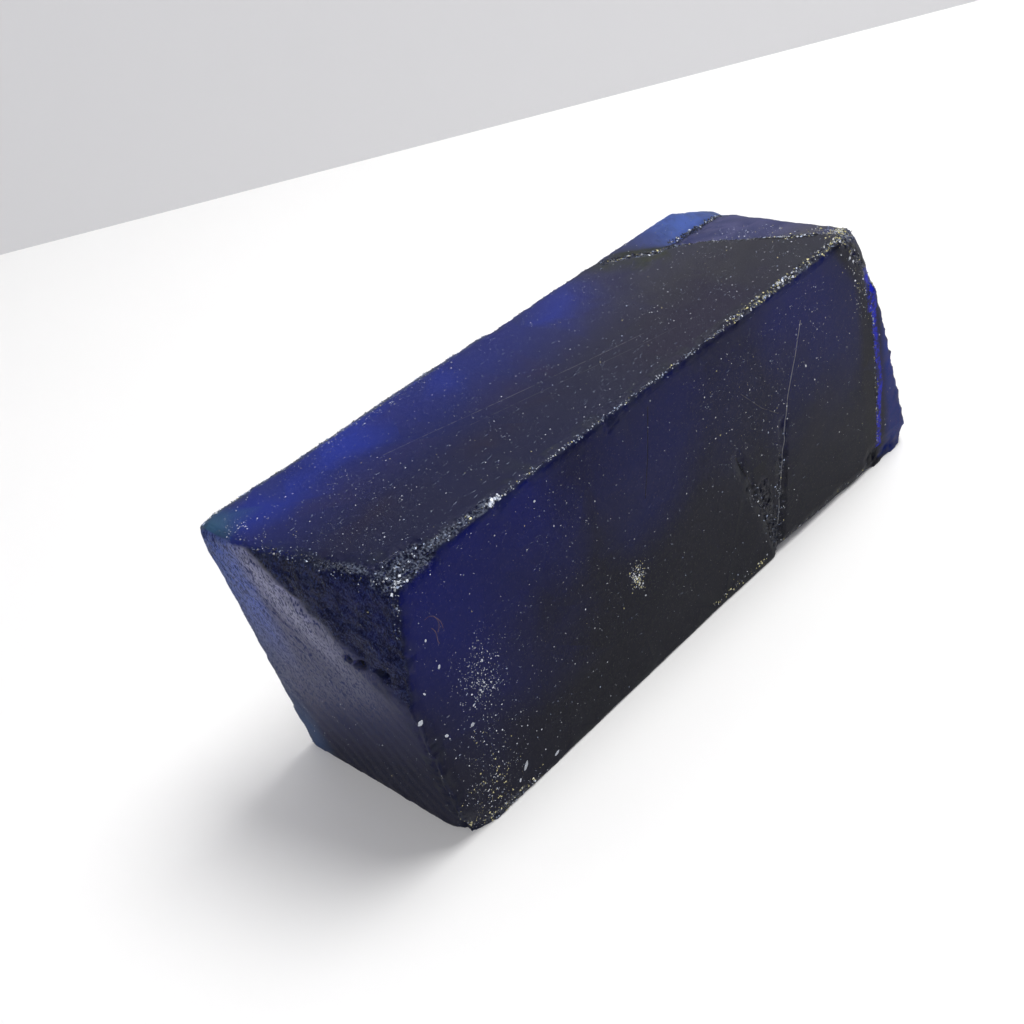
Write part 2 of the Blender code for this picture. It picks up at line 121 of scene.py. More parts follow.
class Nodes:
    """Short way to build a material's node tree."""

    def __init__(self, name):
        self.material = bpy.data.materials.new(name)
        self.material.use_nodes = True
        self.tree = self.material.node_tree
        self.shader = self.tree.nodes["Principled BSDF"]
        self.output = self.tree.nodes["Material Output"]

    def add(self, kind, **settings):
        made = self.tree.nodes.new(kind)
        for key, value in settings.items():
            setattr(made, key, value)
        return made

    def feed(self, socket, value):
        if isinstance(value, bpy.types.NodeSocket):
            self.tree.links.new(value, socket)
        else:
            socket.default_value = value

    def feed_all(self, made, *values):
        for socket, value in zip(made.inputs, values):
            self.feed(socket, value)

    def math(self, operation, a, b=0.0, c=0.0):
        made = self.add("ShaderNodeMath", operation=operation)
        self.feed_all(made, a, b, c)
        return made.outputs[0]

    def times(self, a, b):
        return self.math("MULTIPLY", a, b)

    def most(self, a, b):
        return self.math("MAXIMUM", a, b)

    def ramp(self, value, low, high, out_low=0.0, out_high=1.0):
        """Smooth step of a value between two limits."""
        made = self.add("ShaderNodeMapRange", interpolation_type="SMOOTHSTEP")
        self.feed_all(made, value, low, high, out_low, out_high)
        return made.outputs[0]

    def mix(self, share, a, b):
        made = self.add("ShaderNodeMix", data_type="RGBA")
        self.feed(made.inputs[0], share)
        self.feed(made.inputs[6], a)
        self.feed(made.inputs[7], b)
        return made.outputs[2]

    def noise(self, place, scale, detail=2.0, roughness=0.5):
        made = self.add("ShaderNodeTexNoise")
        self.feed(made.inputs["Vector"], place)
        made.inputs["Scale"].default_value = scale
        made.inputs["Detail"].default_value = detail
        made.inputs["Roughness"].default_value = roughness
        return made.outputs["Fac"]

    def place_in_mm(self):
        """Place on the stone in mm from its near front foot, as a vector and its three numbers."""
        where = self.add("ShaderNodeTexCoord").outputs["Object"]
        origin = spot(0, 0, 0)
        scaled = self.add("ShaderNodeVectorMath", operation="MULTIPLY_ADD")
        self.feed(scaled.inputs[0], where)
        scaled.inputs[1].default_value = (1 / MM, 1 / MM, 1 / MM)
        scaled.inputs[2].default_value = -origin / MM
        split = self.add("ShaderNodeSeparateXYZ")
        self.feed(split.inputs[0], scaled.outputs[0])
        return scaled.outputs[0], split.outputs

    def attribute(self, name, output):
        made = self.add("ShaderNodeAttribute", attribute_name=name)
        return made.outputs[output]

    def line(self, along, across, course, half_width):
        """Thin line that follows a course of (along, across) pairs, with nothing beyond its ends."""
        first = course[0][0]
        last = course[-1][0]
        lows = min(pair[1] for pair in course)
        highs = max(pair[1] for pair in course)
        share = self.add("ShaderNodeMapRange")
        self.feed_all(share, along, first, last, 0.0, 1.0)
        curve = self.add("ShaderNodeFloatCurve")
        points = curve.mapping.curves[0].points
        while len(points) < len(course):
            points.new(0.5, 0.5)
        for point, (a, b) in zip(points, course):
            point.location = ((a - first) / (last - first), (b - lows) / (highs - lows))
            point.handle_type = "VECTOR"
        curve.mapping.update()
        self.feed(curve.inputs["Value"], share.outputs[0])
        middle = self.math("MULTIPLY_ADD", curve.outputs[0], highs - lows, lows)
        away = self.math("ABSOLUTE", self.math("SUBTRACT", across, middle))
        inside = self.times(self.math("GREATER_THAN", along, first), self.math("LESS_THAN", along, last))
        return self.times(self.ramp(away, half_width, half_width * SOLID_CORE), inside)

    def slanted(self, place, factors):
        """A place that is scaled and then turned by the slant of the near end's ridge."""
        made = self.add("ShaderNodeMapping")
        self.feed(made.inputs["Vector"], place)
        made.inputs["Rotation"].default_value = (RIDGE_SLANT, 0, 0)
        made.inputs["Scale"].default_value = factors
        return made.outputs[0]


# -------------------- the stone's mesh

FINE_GRID = 0.24             # mm between the points of the remeshed surface
STONE_TRIANGLES = 185_000
SHARP_TURN = math.radians(22)
SHARP_PITCH = 0.4            # mm between the points laid along the edges that turn more than that
END_FACING = 0.8             # the X of a normal beyond which the surface belongs to an end
FLOOR_BAND = 0.15            # mm above the base where the surface isn't moved up
SEED = Vector((5.3, 71.9, 17.2))

CRUSH_FULLNESS = 1.3         # over 1, so that the middle of a band is crushed right through
NORMAL_ROUNDS = 4

# Sizes and depths in mm of the fine forms.
THIN_CRUMBS = 0.5            # on either side of every sharp edge
THIN_CRUMB_SIZE = 0.5
THIN_CRUMB_DEPTH = 0.05
CHIP_SIZE = 0.55
CHIP_WAVE_SIZE = 0.75
LEATHER_SIZE = 0.55
LEATHER_DEPTH = 0.08
LEATHER_WAVE_SIZE = 1.6
LEATHER_WAVE_DEPTH = 0.06
GROOVE_WIDTH = 0.48
GROOVE_STRETCH = 3.4         # times as long as wide
GROOVE_DEPTH = 0.085
FAR_WAVE_SIZE = 3.4
FAR_WAVE_DEPTH = 0.22
FAR_SINK = 0.12              # keeps the rough far end inside the CAD solid
PIT_DEPTH = 0.55

# Edges crushed to a sparkling band: both ends, its width and the depth of its chips, in mm.
CRUSHED_EDGES = (
    ((-0.6, 1.6, 39.4), (4.0, 1.0, 39.8), 2.9, 0.60),
    ((4.0, 1.0, 39.8), (15, 0.5, 40.1), 1.1, 0.36),
    ((-1, 4, 40.2), (-3.4, 9.5, 40.2), 1.5, 0.35),
    ((-0.8, 0, 38.8), (-1.2, 0, 36), 1.1, 0.3),
    ((56, 0, 40.2), (80, 0, 40.2), 1.1, 0.35),
    ((79.7, 0, 40.2), (85.5, 0, 31.8), 0.9, 0.3),
    ((81.0, 1.2, 39.4), (85.6, 2.8, 37.6), 1.7, 0.4),
    ((86.0, 1.6, 36), (86.8, 0.4, 30), 0.8, 0.25),
    ((2, -1, 0.5), (8, -1, 0.5), 1.2, 0.18),
    ((59.0, 0, 13), (60.6, 0, 3), 1.8, 0.28),
    ((61.2, 25.6, 40.2), (71, 18, 40.2), 1.3, 0.45),
    ((71, 18, 40.2), (81, 2, 40.2), 0.8, 0.35),
)
# Corners worn round: their place, the way to the inside of the stone, how far the wear reaches and its
# depth, in mm.
WORN_CORNERS = (
    ((-1.0, -1.1, 0.0), (0.62, 0.78, 0.0), 5.0, 1.25),
    ((-1.15, -0.85, 0.8), (0.75, 0.25, 0.0), 2.0, 0.5),
    ((-6.5, 27.7, 40.2), (0.6, -0.5, -0.6), 2.0, 0.4),
    ((-5.0, 28.4, 0.0), (0.7, -0.7, 0.0), 2.6, 0.8),
    ((95.0, -0.5, 0.0), (-0.7, 0.7, 0.0), 3.0, 0.9),
)
# Small pits on the ridge of the near end: Y, Z, half sizes across and up, in mm.
RIDGE_PITS = ((7.5, 28.0, 0.75, 0.50), (5.9, 27.6, 0.85, 0.60), (3.2, 27.2, 0.95, 0.50))

# The ridge of the near end runs where RIDGE_UP * z - RIDGE_BACK * y is RIDGE_LEVEL.
RIDGE_UP = 0.295
RIDGE_BACK = 0.26
RIDGE_LEVEL = 6.74
RIDGE_STEEPNESS = 0.393      # how fast that number grows per mm away from the ridge
RIDGE_SLANT = math.radians(33)           # away from upright, with its cosine and sine below
SLANT_COS = 0.84
SLANT_SIN = 0.55


def closed_copy(mesh):
    """bmesh of the CAD solid with its split corners joined again."""
    bm = bmesh.new()
    bm.from_mesh(mesh)
    bmesh.ops.remove_doubles(bm, verts=bm.verts, dist=1e-7)
    return bm


def sharp_points(bm):
    """Tree of points along every edge where the CAD solid turns sharply."""
    spots = []
    for edge in bm.edges:
        if len(edge.link_faces) == 2 and edge.calc_face_angle(0) > SHARP_TURN:
            a, b = (vert.co for vert in edge.verts)
            count = max(1, math.ceil(edge.calc_length() / (SHARP_PITCH * MM)))
            spots += [a.lerp(b, (number + 0.5) / count) for number in range(count)]
    tree = KDTree(len(spots))
    for index, point in enumerate(spots):
        tree.insert(point, index)
    tree.balance()
    return tree


def places_in_mm(bm):
    """Places on the stone in mm of all corners, one row each."""
    return (np.array([vert.co for vert in bm.verts]) - spot(0, 0, 0)) / MM


def crush(places):
    """How crushed the stone is at every place, and the depth of the chips there in mm."""
    most = np.zeros(len(places))
    deep = np.zeros(len(places))
    for start, end, width, depth in CRUSHED_EDGES:
        along = np.subtract(end, start)
        share = np.clip((places - start) @ along / (along @ along), 0, 1)
        away = np.linalg.norm(places - start - share[:, None] * along, axis=1)
        crushed = ease(CRUSH_FULLNESS * (1 - away / width))
        deep = np.where(crushed > most, depth, deep)
        most = np.maximum(most, crushed)
    return most, deep


def worn(places):
    """How far wear has drawn the surface in at every place, as a move in mm."""
    moves = np.zeros_like(places)
    for corner, inward, reach, most in WORN_CORNERS:
        away = np.linalg.norm(places - corner, axis=1)
        moves += np.outer(most * ease(1 - away / reach), inward)
    return moves


def above_ridge(y, z):
    """Distance in mm from the slanting ridge of the near end, up the rough upper break."""
    return (RIDGE_UP * z - RIDGE_BACK * y - RIDGE_LEVEL) / RIDGE_STEEPNESS


def ridge_pits(y, z):
    """How deep a place lies in the small pits of the ridge, from 0 to 1."""
    inside = 0.0
    for middle_y, middle_z, across, up in RIDGE_PITS:
        inside = max(inside, 1.3 - ((y - middle_y) / across) ** 2 - ((z - middle_z) / up) ** 2)
    return float(ease(inside))


def leather(seed):
    """Height of the leathery grain of a rough break in mm."""
    grain = LEATHER_DEPTH * noise.fractal(seed / LEATHER_SIZE, 1.0, 2.0, 2)
    return grain + LEATHER_WAVE_DEPTH * noise.noise(seed / LEATHER_WAVE_SIZE)


def grain_of_near_end(place):
    """Height of the fine unevenness of the near end in mm."""
    ridge = above_ridge(place.y, place.z)
    seed = place + SEED
    if ridge > 0:
        return leather(seed)
    across = seed.y * SLANT_COS - seed.z * SLANT_SIN
    along = seed.y * SLANT_SIN + seed.z * SLANT_COS
    pits = noise.noise(Vector((seed.x, across, along / GROOVE_STRETCH)) / GROOVE_WIDTH)
    grooves = -GROOVE_DEPTH * float(ease((pits - 0.12) * 3.2))
    # The grooves fade towards the foot and towards the front face.
    calm = float(ease((ridge + 15) / 7)) * (0.35 + 0.65 * float(ease((place.y - 7) / 6)))
    return grooves * calm


def fine_depth(place, normal, gap, crushed):
    """Depth in mm that the fine crumbling and the grain take off at a place."""
    seed = place + SEED
    depth = 0.0
    if gap < THIN_CRUMBS:
        crumb = noise.cell(seed / THIN_CRUMB_SIZE) + 1
        depth = float(ease(1 - gap / THIN_CRUMBS)) * THIN_CRUMB_DEPTH * crumb
    if crushed > 0:
        chips = noise.cell(seed / CHIP_SIZE) * 0.4 + noise.noise(seed / CHIP_WAVE_SIZE) * 0.5 + 0.45
        depth = max(depth, crushed * max(0.0, chips))
    if normal.x < -END_FACING:
        depth += PIT_DEPTH * ridge_pits(place.y, place.z) - grain_of_near_end(place)
    if normal.x > END_FACING:
        depth += FAR_WAVE_DEPTH * noise.noise(seed / FAR_WAVE_SIZE) + FAR_SINK - leather(seed)
    return depth


def smoothed_normals(bm):
    """Normal of every corner, averaged over its surroundings."""
    normals = np.array([vert.normal for vert in bm.verts])
    ends = np.array([[vert.index for vert in edge.verts] for edge in bm.edges])
    for _ in range(NORMAL_ROUNDS):
        total = normals.copy()
        for axis in range(3):
            total[:, axis] += np.bincount(ends[:, 0], normals[ends[:, 1], axis], len(normals))
            total[:, axis] += np.bincount(ends[:, 1], normals[ends[:, 0], axis], len(normals))
        normals = total / np.linalg.norm(total, axis=1)[:, None]
    return normals


def store(mesh, name, kind, key, values):
    layer = mesh.attributes.new(name, kind, "POINT")
    layer.data.foreach_set(key, np.asarray(values, np.float32).ravel())


def make_stone():
    bm = closed_copy(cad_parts[STONE].data)
    tree = sharp_points(bm)
    mesh = bpy.data.meshes.new("sapphire_stone")
    bm.to_mesh(mesh)
    bm.free()
    stone = link_object("sapphire_stone", mesh)
    remesh = stone.modifiers.new("grid", "REMESH")
    remesh.mode = "VOXEL"
    remesh.voxel_size = FINE_GRID * MM
    bake(stone)

    bm = bmesh.new()
    bm.from_mesh(stone.data)
    bm.normal_update()
    places = places_in_mm(bm)
    most, deep = crush(places)
    for vert, place, crushed, wear in zip(bm.verts, places, most * deep, worn(places)):
        _, _, gap = tree.find(vert.co)
        move = Vector(wear) - vert.normal * fine_depth(Vector(place), vert.normal, gap / MM, crushed)
        move.z *= min(1.0, max(0.0, place[2] - FLOOR_BAND))
        vert.co += move * MM
    bm.to_mesh(stone.data)
    bm.free()

    thin = stone.modifiers.new("thin", "DECIMATE")
    thin.ratio = STONE_TRIANGLES / (2 * len(stone.data.polygons))
    bake(stone)
    keep_in_box(stone)
    describe_surface(stone, tree)
    return stone


def keep_in_box(stone):
    """Move what lies below the flat base, or outside the CAD solid's box, to its nearest side."""
    places = np.empty(len(stone.data.vertices) * 3, np.float32)
    stone.data.vertices.foreach_get("co", places)
    kept = np.clip(places.reshape(-1, 3), np.array(LOW), np.array(HIGH)).astype(np.float32)
    stone.data.vertices.foreach_set("co", kept.ravel())
    stone.data.update()


def describe_surface(stone, tree):
    """Store how the surface is at every corner: its colour, and how crushed, grained and rugged it is."""
    bm = bmesh.new()
    bm.from_mesh(stone.data)
    bm.normal_update()
    lie = smoothed_normals(bm)
    places = places_in_mm(bm)
    gaps = np.array([tree.find(vert.co)[2] / MM for vert in bm.verts])
    bm.free()
    crushed, _ = crush(places)
    _, y, z = places.T
    ridge = above_ridge(y, z)
    looks_near = step(lie[:, 0], -0.6, -0.9)
    grained = looks_near * step(z + FOOT_SLANT * y, 14, 24, 0.15, 0.9) * step(ridge, 0.6, -0.4)
    grained = grained * step(y, 2, 9, 0.3, 1.0)
    rugged = looks_near * step(ridge, 0.1, 0.9) + step(lie[:, 0], 0.6, 0.85, 0.0, 0.7)
    store(stone.data, "crushed", "FLOAT", "value", crushed)
    store(stone.data, "grained", "FLOAT", "value", grained)
    store(stone.data, "rugged", "FLOAT", "value", rugged)
    paint(stone, places, lie, gaps)


# -------------------- the stone's colours

# Painted glows of blue light that comes through the stone, on its top: X, Y, their reach along and across,
# and strength.
TOP_GLOWS = (
    (1.5, 22.6, 11.0, 6.5, 0.75),
    (14.5, 24.0, 10.0, 6.5, 1.0),
    (27.5, 24.5, 9.0, 5.5, 0.7),
    (39.5, 25.5, 9.0, 4.5, 0.45),
    (49.0, 23.5, 10.0, 6.0, 0.8),
)
# Painted glows of blue light that comes through its front: X, Z, reach along and up, and strength.
FRONT_GLOWS = (
    (8.0, 35.0, 25.0, 25.0, 0.92),
    (38.0, 36.0, 16.0, 20.0, 0.5),
    (54.0, 34.0, 12.0, 18.0, 0.3),
    (72.0, 36.0, 19.0, 24.0, 0.68),
)
# Patches of other colours on the top, as above; the teal patch at the back corner is painted light that
# comes through the thin corner.
CORNER_PATCHES = ((-6.3, 26.5, 4.4, 5.4, 0.95),)
OLIVE_PATCHES = ((66.0, 21.0, 7.5, 3.2, 0.85), (60.5, 24.5, 4.0, 2.6, 0.8))

LEDGE_SLANT = 0.56           # how much X falls along the ledge per mm of Y
SHOULDER_SLANT = 0.192       # how much Y grows along the riser per mm of X
SHOULDER_END_SLANT = 1.233   # how much X falls along the shoulder's near end per mm of Y
CHAMFER_SLANT = 0.69         # how much X grows along the chamfer per mm down
FACET_SLANT = 0.14           # how much X falls along the top of the narrow facet per mm up
FOOT_SLANT = 0.42            # how much Z falls along the dark foot of the lower break per mm of Y

TOP_INK = (0.014, 0.019, 0.105)
TOP_GREY = (0.070, 0.069, 0.074)
TOP_FRONT = (0.030, 0.034, 0.080)
TOP_STREAK = (0.036, 0.030, 0.075)
# Painted light: blue of light that comes through the thin stone.
TOP_PAINTED_GLOW = (0.026, 0.062, 0.60)
TOP_OLIVE = (0.060, 0.072, 0.030)
BACK_EDGE = (0.19, 0.24, 0.34)
# Painted light: teal of light that comes through the thin back corner.
CORNER_TEAL_GLOW = (0.065, 0.20, 0.34)
# Painted light on the bevelled corner, reflected off and coming through its smooth break.
BEVEL_DARK = (0.046, 0.058, 0.22)
BEVEL_PALE = (0.118, 0.125, 0.34)
BEVEL_GREY = (0.12, 0.115, 0.13)
SHOULDER_DARK = (0.085, 0.10, 0.27)
# Painted light: blue of light that comes through the shoulder.
SHOULDER_PAINTED_GLOW = (0.13, 0.25, 0.84)
SHOULDER_SHADE = (0.06, 0.085, 0.26)
SHOULDER_FAR = (0.12, 0.19, 0.46)
SHOULDER_OLIVE = (0.055, 0.062, 0.040)

FRONT_NEAR = (0.008, 0.009, 0.045)
FRONT_FAR = (0.002, 0.003, 0.018)
# Painted light: blue of light that comes through the front.
FRONT_PAINTED_GLOW = (0.003, 0.011, 0.23)
FRONT_STREAK = (0.03, 0.03, 0.05)
# Painted light: the narrow facet's vivid blue, light that comes through its thin edge.
FACET_GLOW_HEAD = (0.0, 0.025, 0.52)
FACET_GLOW_FOOT = (0.0, 0.018, 0.30)
FACET_PALE = (0.02, 0.04, 0.30)
CHAMFER_DARK = (0.006, 0.007, 0.018)
CHAMFER_GREY = (0.04, 0.042, 0.045)

UPPER_FRONT_DARK = (0.004, 0.008, 0.080)
UPPER_FRONT_BLUE = (0.012, 0.020, 0.18)
UPPER_BACK_DARK = (0.008, 0.012, 0.050)
UPPER_BACK_BLUE = (0.030, 0.040, 0.12)
# The near end's lower break: painted shade at the foot, frosted bloom with painted reflection, a painted
# highlight, and painted light that comes through at its back.
LOWER_FOOT_SHADE = (0.001, 0.003, 0.048)
LOWER_HEAD = (0.030, 0.034, 0.13)
LOWER_HAZE_AND_REFLECTION = (0.19, 0.20, 0.36)
LOWER_PAINTED_HIGHLIGHT = (0.68, 0.69, 0.98)
LOWER_BACK_GLOW = (0.20, 0.30, 0.90)
LOWER_BACK_FOOT_GLOW = (0.035, 0.12, 0.36)

FAR_DARK = (0.012, 0.018, 0.10)
FAR_BLUE = (0.03, 0.055, 0.30)
FAR_PALE = (0.07, 0.085, 0.20)
BACK_FOOT = (0.008, 0.010, 0.05)
BACK_HEAD = (0.016, 0.03, 0.26)
BACK_CLOUD = (0.012, 0.014, 0.05)
BACK_STREAK = (0.05, 0.055, 0.12)
BASE_DARK = (0.02, 0.022, 0.04)
BETWEEN_FACES = (0.012, 0.018, 0.085)
EDGE_GREY = (0.05, 0.065, 0.065)
# Painted shade in the ridge's small pits.
PIT_SHADE = (0.001, 0.002, 0.006)


def blend(share, a, b):
    return np.asarray(a) * (1 - share) + np.asarray(b) * share


def field(places, scale, octaves=3):
    """Noise from about 0 to 1 at every place; `scale` is one number, or one for each axis."""
    return np.array([0.5 + 0.5 * noise.fractal(Vector(row), 1.0, 2.0, octaves) for row in places * scale])


def glow(a, b, patches, grain):
    """The strongest of soft rounded patches over two coordinates, broken up a little by a noise."""
    total = np.zeros((len(a), 1))
    for middle_a, middle_b, reach_a, reach_b, strength in patches:
        away = ((a - middle_a) / reach_a) ** 2 + ((b - middle_b) / reach_b) ** 2 + (grain - 0.5) * 0.9
        total = np.maximum(total, step(away, 1.0, -0.2, 0.0, strength))
    return total


def top_colour(x, y, streak, mottle):
    """Colour of the top: inky and full of painted blue glows of light that comes through at the near end,
    dusty grey beyond the middle.
    """
    tone = blend(step(x, 22, 66), TOP_INK, TOP_GREY)
    tone = blend(step(y, 19, 4, 0.0, 0.45), tone, TOP_FRONT)
    tone = blend(step(streak, 0.5, 0.8, 0.0, 0.8), tone, TOP_STREAK)
    # Painted light: blue glows of light that comes through the stone, more of it towards the back edge.
    blue = glow(x, y, TOP_GLOWS, streak)
    blue = np.maximum(blue, step(y, 9, 25) * step(x, 60, 44, 0.12, 0.42))
    tone = blend(blue, tone, TOP_PAINTED_GLOW)
    tone = blend(glow(x, y, OLIVE_PATCHES, mottle), tone, TOP_OLIVE)
    tone = blend(step(y, 26.2, 27.3) * step(mottle, 0.25, 0.6, 0.35, 1.0), tone, BACK_EDGE)
    # Painted light that comes through the thin back corner, in teal.
    tone = blend(glow(x, y, CORNER_PATCHES, streak), tone, CORNER_TEAL_GLOW)

    past_ledge = step(x + LEDGE_SLANT * (y - 10.1), 75.2, 75.8)
    tone = blend(past_ledge, tone, bevel_colour(y, mottle))
    on_shoulder = step(y - SHOULDER_SLANT * (x - 68.8), 20.7, 21.3) * step(x, 60.5, 63.5)
    on_shoulder = on_shoulder * step(x + SHOULDER_END_SLANT * (y - 26.8), 60.2, 61.4)
    return blend(on_shoulder, tone, shoulder_colour(x, y, mottle))


def bevel_colour(y, mottle):
    """Colour of the bevelled corner beyond the ledge, its blue and pale tones painted light reflected off
    and coming through its smooth break.
    """
    # Painted light: pale and blue where the smooth break reflects light and lets it through.
    tone = blend(step(mottle, 0.35, 0.65), BEVEL_DARK, BEVEL_PALE)
    return blend(step(y, 14, 5) * step(mottle, 0.3, 0.6, 0.3, 0.9), tone, BEVEL_GREY)


def shoulder_colour(x, y, mottle):
    """Colour of the shoulder behind the bevelled corner, bright blue with painted light that comes through
    it, with an olive band along the ledge.
    """
    # Painted light: the shoulder turns bright blue further along, where light comes through it.
    tone = blend(step(x, 65, 75), SHOULDER_DARK, SHOULDER_PAINTED_GLOW)
    tone = blend(step(mottle, 0.55, 0.3, 0.0, 0.5), tone, SHOULDER_SHADE)
    tone = blend(step(x, 79, 84, 0.0, 0.8), tone, SHOULDER_FAR)
    behind_ledge = y - np.interp(x, (60.4, 65.4, 71.0), (26.1, 22.9, 18.4))
    olive = step(behind_ledge, 2.6, 1.2) * step(x, 61.5, 63.5) * step(x, 72, 68)
    olive = olive * step(mottle, 0.2, 0.5, 0.5, 1.0)
    return blend(olive, tone, SHOULDER_OLIVE)


def front_colour(x, z, cloud, streak, mottle):
    """Colour of the front, of the narrow facet beside it and of the chamfer above that, with painted blue
    light that comes through the front and the facet.
    """
    tone = blend(step(x, 0, 24), FRONT_NEAR, FRONT_FAR)
    # Painted light: blue glows of light that comes through the front.
    tone = blend(glow(x, z, FRONT_GLOWS, cloud), tone, FRONT_PAINTED_GLOW)
    tone = blend(step(streak, 0.5, 0.9, 0.0, 0.2), tone, FRONT_STREAK)
    # Painted light: the narrow facet is vivid blue with light that comes through its thin edge.
    facet = blend(step(z, 22, 8), FACET_GLOW_HEAD, FACET_GLOW_FOOT)
    facet = blend(step(mottle, 0.5, 0.8, 0.0, 0.5), facet, FACET_PALE)
    edge = 85.4 - FACET_SLANT * np.maximum(0, z - 25)
    tone = blend(step(x - edge, 0.15, 0.6), tone, facet)
    on_chamfer = step(x - 79.7 - CHAMFER_SLANT * (40.2 - z), -0.2, 0.6) * step(z, 31.5, 33.0)
    chamfer = blend(step(mottle, 0.4, 0.6), CHAMFER_DARK, CHAMFER_GREY)
    return blend(on_chamfer, tone, chamfer)


def upper_break_colour(y, mottle):
    """Colour of the rough upper part of the near end."""
    share = step(mottle, 0.35, 0.7)
    front_part = blend(share, UPPER_FRONT_DARK, UPPER_FRONT_BLUE)
    back_part = blend(share, UPPER_BACK_DARK, UPPER_BACK_BLUE)
    return blend(step(y, 3, 14), front_part, back_part)


def lower_break_colour(y, z, ridge, lanes):
    """Colour of the hazy lower part of the near end: a frosted bloom with painted reflection, a painted
    highlight under the ridge, painted shade towards the foot and painted light that comes through at its
    back.
    """
    above_foot = z - 19.5 + FOOT_SLANT * y
    # Painted shade: darker towards the foot.
    tone = blend(step(above_foot, -9, 1), LOWER_FOOT_SHADE, LOWER_HEAD)
    # Frosted bloom, partly painted reflection of the lit floor.
    haze = step(above_foot, -1.5, 7) * step(y, 0, 8, 0.25, 1.0) * step(lanes, 0.2, 0.6, 0.75, 1.0)
    tone = blend(haze, tone, LOWER_HAZE_AND_REFLECTION)
    # Painted highlight under the ridge.
    bright = step(ridge, -8.5, -2.2) * step(y, 5, 15) * step(y, 24, 18, 0.3, 1.0)
    tone = blend(bright, tone, LOWER_PAINTED_HIGHLIGHT)
    # Painted light that comes through the thin back of the near end, blue high up and teal at the foot.
    tone = blend(step(y, 18.5, 23) * step(z, 16, 30), tone, LOWER_BACK_GLOW)
    return blend(step(y, 22.5, 26.5) * step(z, 14, 5, 0.3, 0.9), tone, LOWER_BACK_FOOT_GLOW)


def far_colour(cloud, mottle):
    tone = blend(step(cloud, 0.35, 0.65), FAR_DARK, FAR_BLUE)
    return blend(step(mottle, 0.45, 0.8, 0.0, 0.5), tone, FAR_PALE)


def back_colour(z, cloud, streak):
    tone = blend(step(z, 6, 36), BACK_FOOT, BACK_HEAD)
    tone = blend(step(cloud, 0.42, 0.7), tone, BACK_CLOUD)
    return blend(step(streak, 0.5, 0.9, 0.0, 0.5), tone, BACK_STREAK)


def paint(stone, places, lie, gap):
    """Store the colour of the stone's body, with its painted light and shade, at every corner of its mesh,
    by the way the surface looks.
    """
    x, y, z = places.T
    look_x, look_y, look_z = lie.T
    ridge = above_ridge(y, z)
    cloud = field(places, 0.06)
    streak = field(places, (0.045, 0.15, 0.15))
    mottle = field(places, 0.5)
    across = SLANT_COS * y - SLANT_SIN * z
    along = SLANT_SIN * y + SLANT_COS * z
    lanes = field(np.column_stack((x, across, along * 0.22)), 1.1, 2)

    lower = lower_break_colour(y, z, ridge, lanes)
    near = blend(step(ridge, -0.6, 0.9), lower, upper_break_colour(y, mottle))
    tone = blend(step(look_z, 0.55, 0.80), BETWEEN_FACES, top_colour(x, y, streak, mottle))
    tone = blend(step(look_y, -0.72, -0.93), tone, front_colour(x, z, cloud, streak, mottle))
    tone = blend(step(look_y, 0.72, 0.93), tone, back_colour(z, cloud, streak))
    tone = blend(step(look_x, 0.62, 0.86), tone, far_colour(cloud, mottle))
    tone = blend(step(look_x, -0.62, -0.86), tone, near)
    # Painted shade in the small pits of the ridge.
    in_pit = np.array([ridge_pits(*row) for row in places[:, 1:]])[:, None]
    tone = blend(step(look_x, -0.3, -0.5) * in_pit, tone, PIT_SHADE)
    tone = blend(step(look_z, -0.6, -0.9), tone, BASE_DARK)
    rim = step(gap, 1.6, 0.3) * step(mottle, 0.35, 0.65)
    tone = blend(0.3 * rim, tone, EDGE_GREY)
    store(stone.data, "tint", "FLOAT_COLOR", "color", np.column_stack((tone, np.ones(len(tone)))))


# -------------------- materials

# Courses in mm of lines up the front face and the facet beside it, as pairs of Z and X.
WHITE_CRACK = ((1.2, 60.6), (9.0, 62.2), (16.2, 63.8), (23.6, 65.6), (28.8, 67.9), (33.2, 69.5))
DARK_CRACK = ((1.6, 60.8), (11.5, 57.8), (20.8, 54.2))
UPRIGHT_CRACK = ((25.8, 36.8), (31.0, 38.3), (37.5, 39.7))
FAINT_CRACK = ((21.4, 64.4), (25.0, 60.2), (29.5, 56.3))
CHIP_SHADE = ((1.6, 60.8), (9.0, 59.6), (14.5, 58.8), (17.0, 58.4))
FRONT_SHADE = (
    (0.0, 85.2), (25.0, 85.2), (31.8, 84.6), (34.0, 83.2), (36.0, 81.9), (38.0, 80.6), (41.0, 78.6),
)
# The vivid strip on the narrow facet, painted light that comes through its thin edge:
FACET_GLOW = (
    (3.0, 85.8), (9.5, 86.0), (13.0, 86.6), (16.3, 86.4), (18.6, 86.2), (22.0, 86.0), (26.2, 85.7),
)
FACET_BLAZE = ((26.2, 85.6), (29.0, 85.5), (33.0, 85.3))
# Lines along the top, as pairs of X and Y.
LONG_SCRATCH = ((14.0, 18.0), (43.4, 9.5), (49.0, 8.1))
SECOND_SCRATCH = ((23.6, 13.2), (46.6, 6.7), (52.0, 5.4))
LEDGE_LINE = ((60.4, 26.1), (63.3, 24.7), (65.4, 22.9), (68.0, 21.0))
RISER_LINE = ((68.9, 21.0), (78.0, 22.7), (84.5, 24.0))
# The line across the top, as pairs of Y and X.
LEDGE_DOWN = (
    (3.4, 79.1), (6.5, 77.4), (10.2, 75.4), (14.8, 72.8), (17.3, 71.3), (19.3, 70.2), (21.4, 68.2),
)

GRAIN_PIT = (0.015, 0.03, 0.19, 1)
SMALL_FACET_DARK = (0.001, 0.002, 0.012, 1)
SMALL_FACET_PALE = (0.060, 0.095, 0.34, 1)
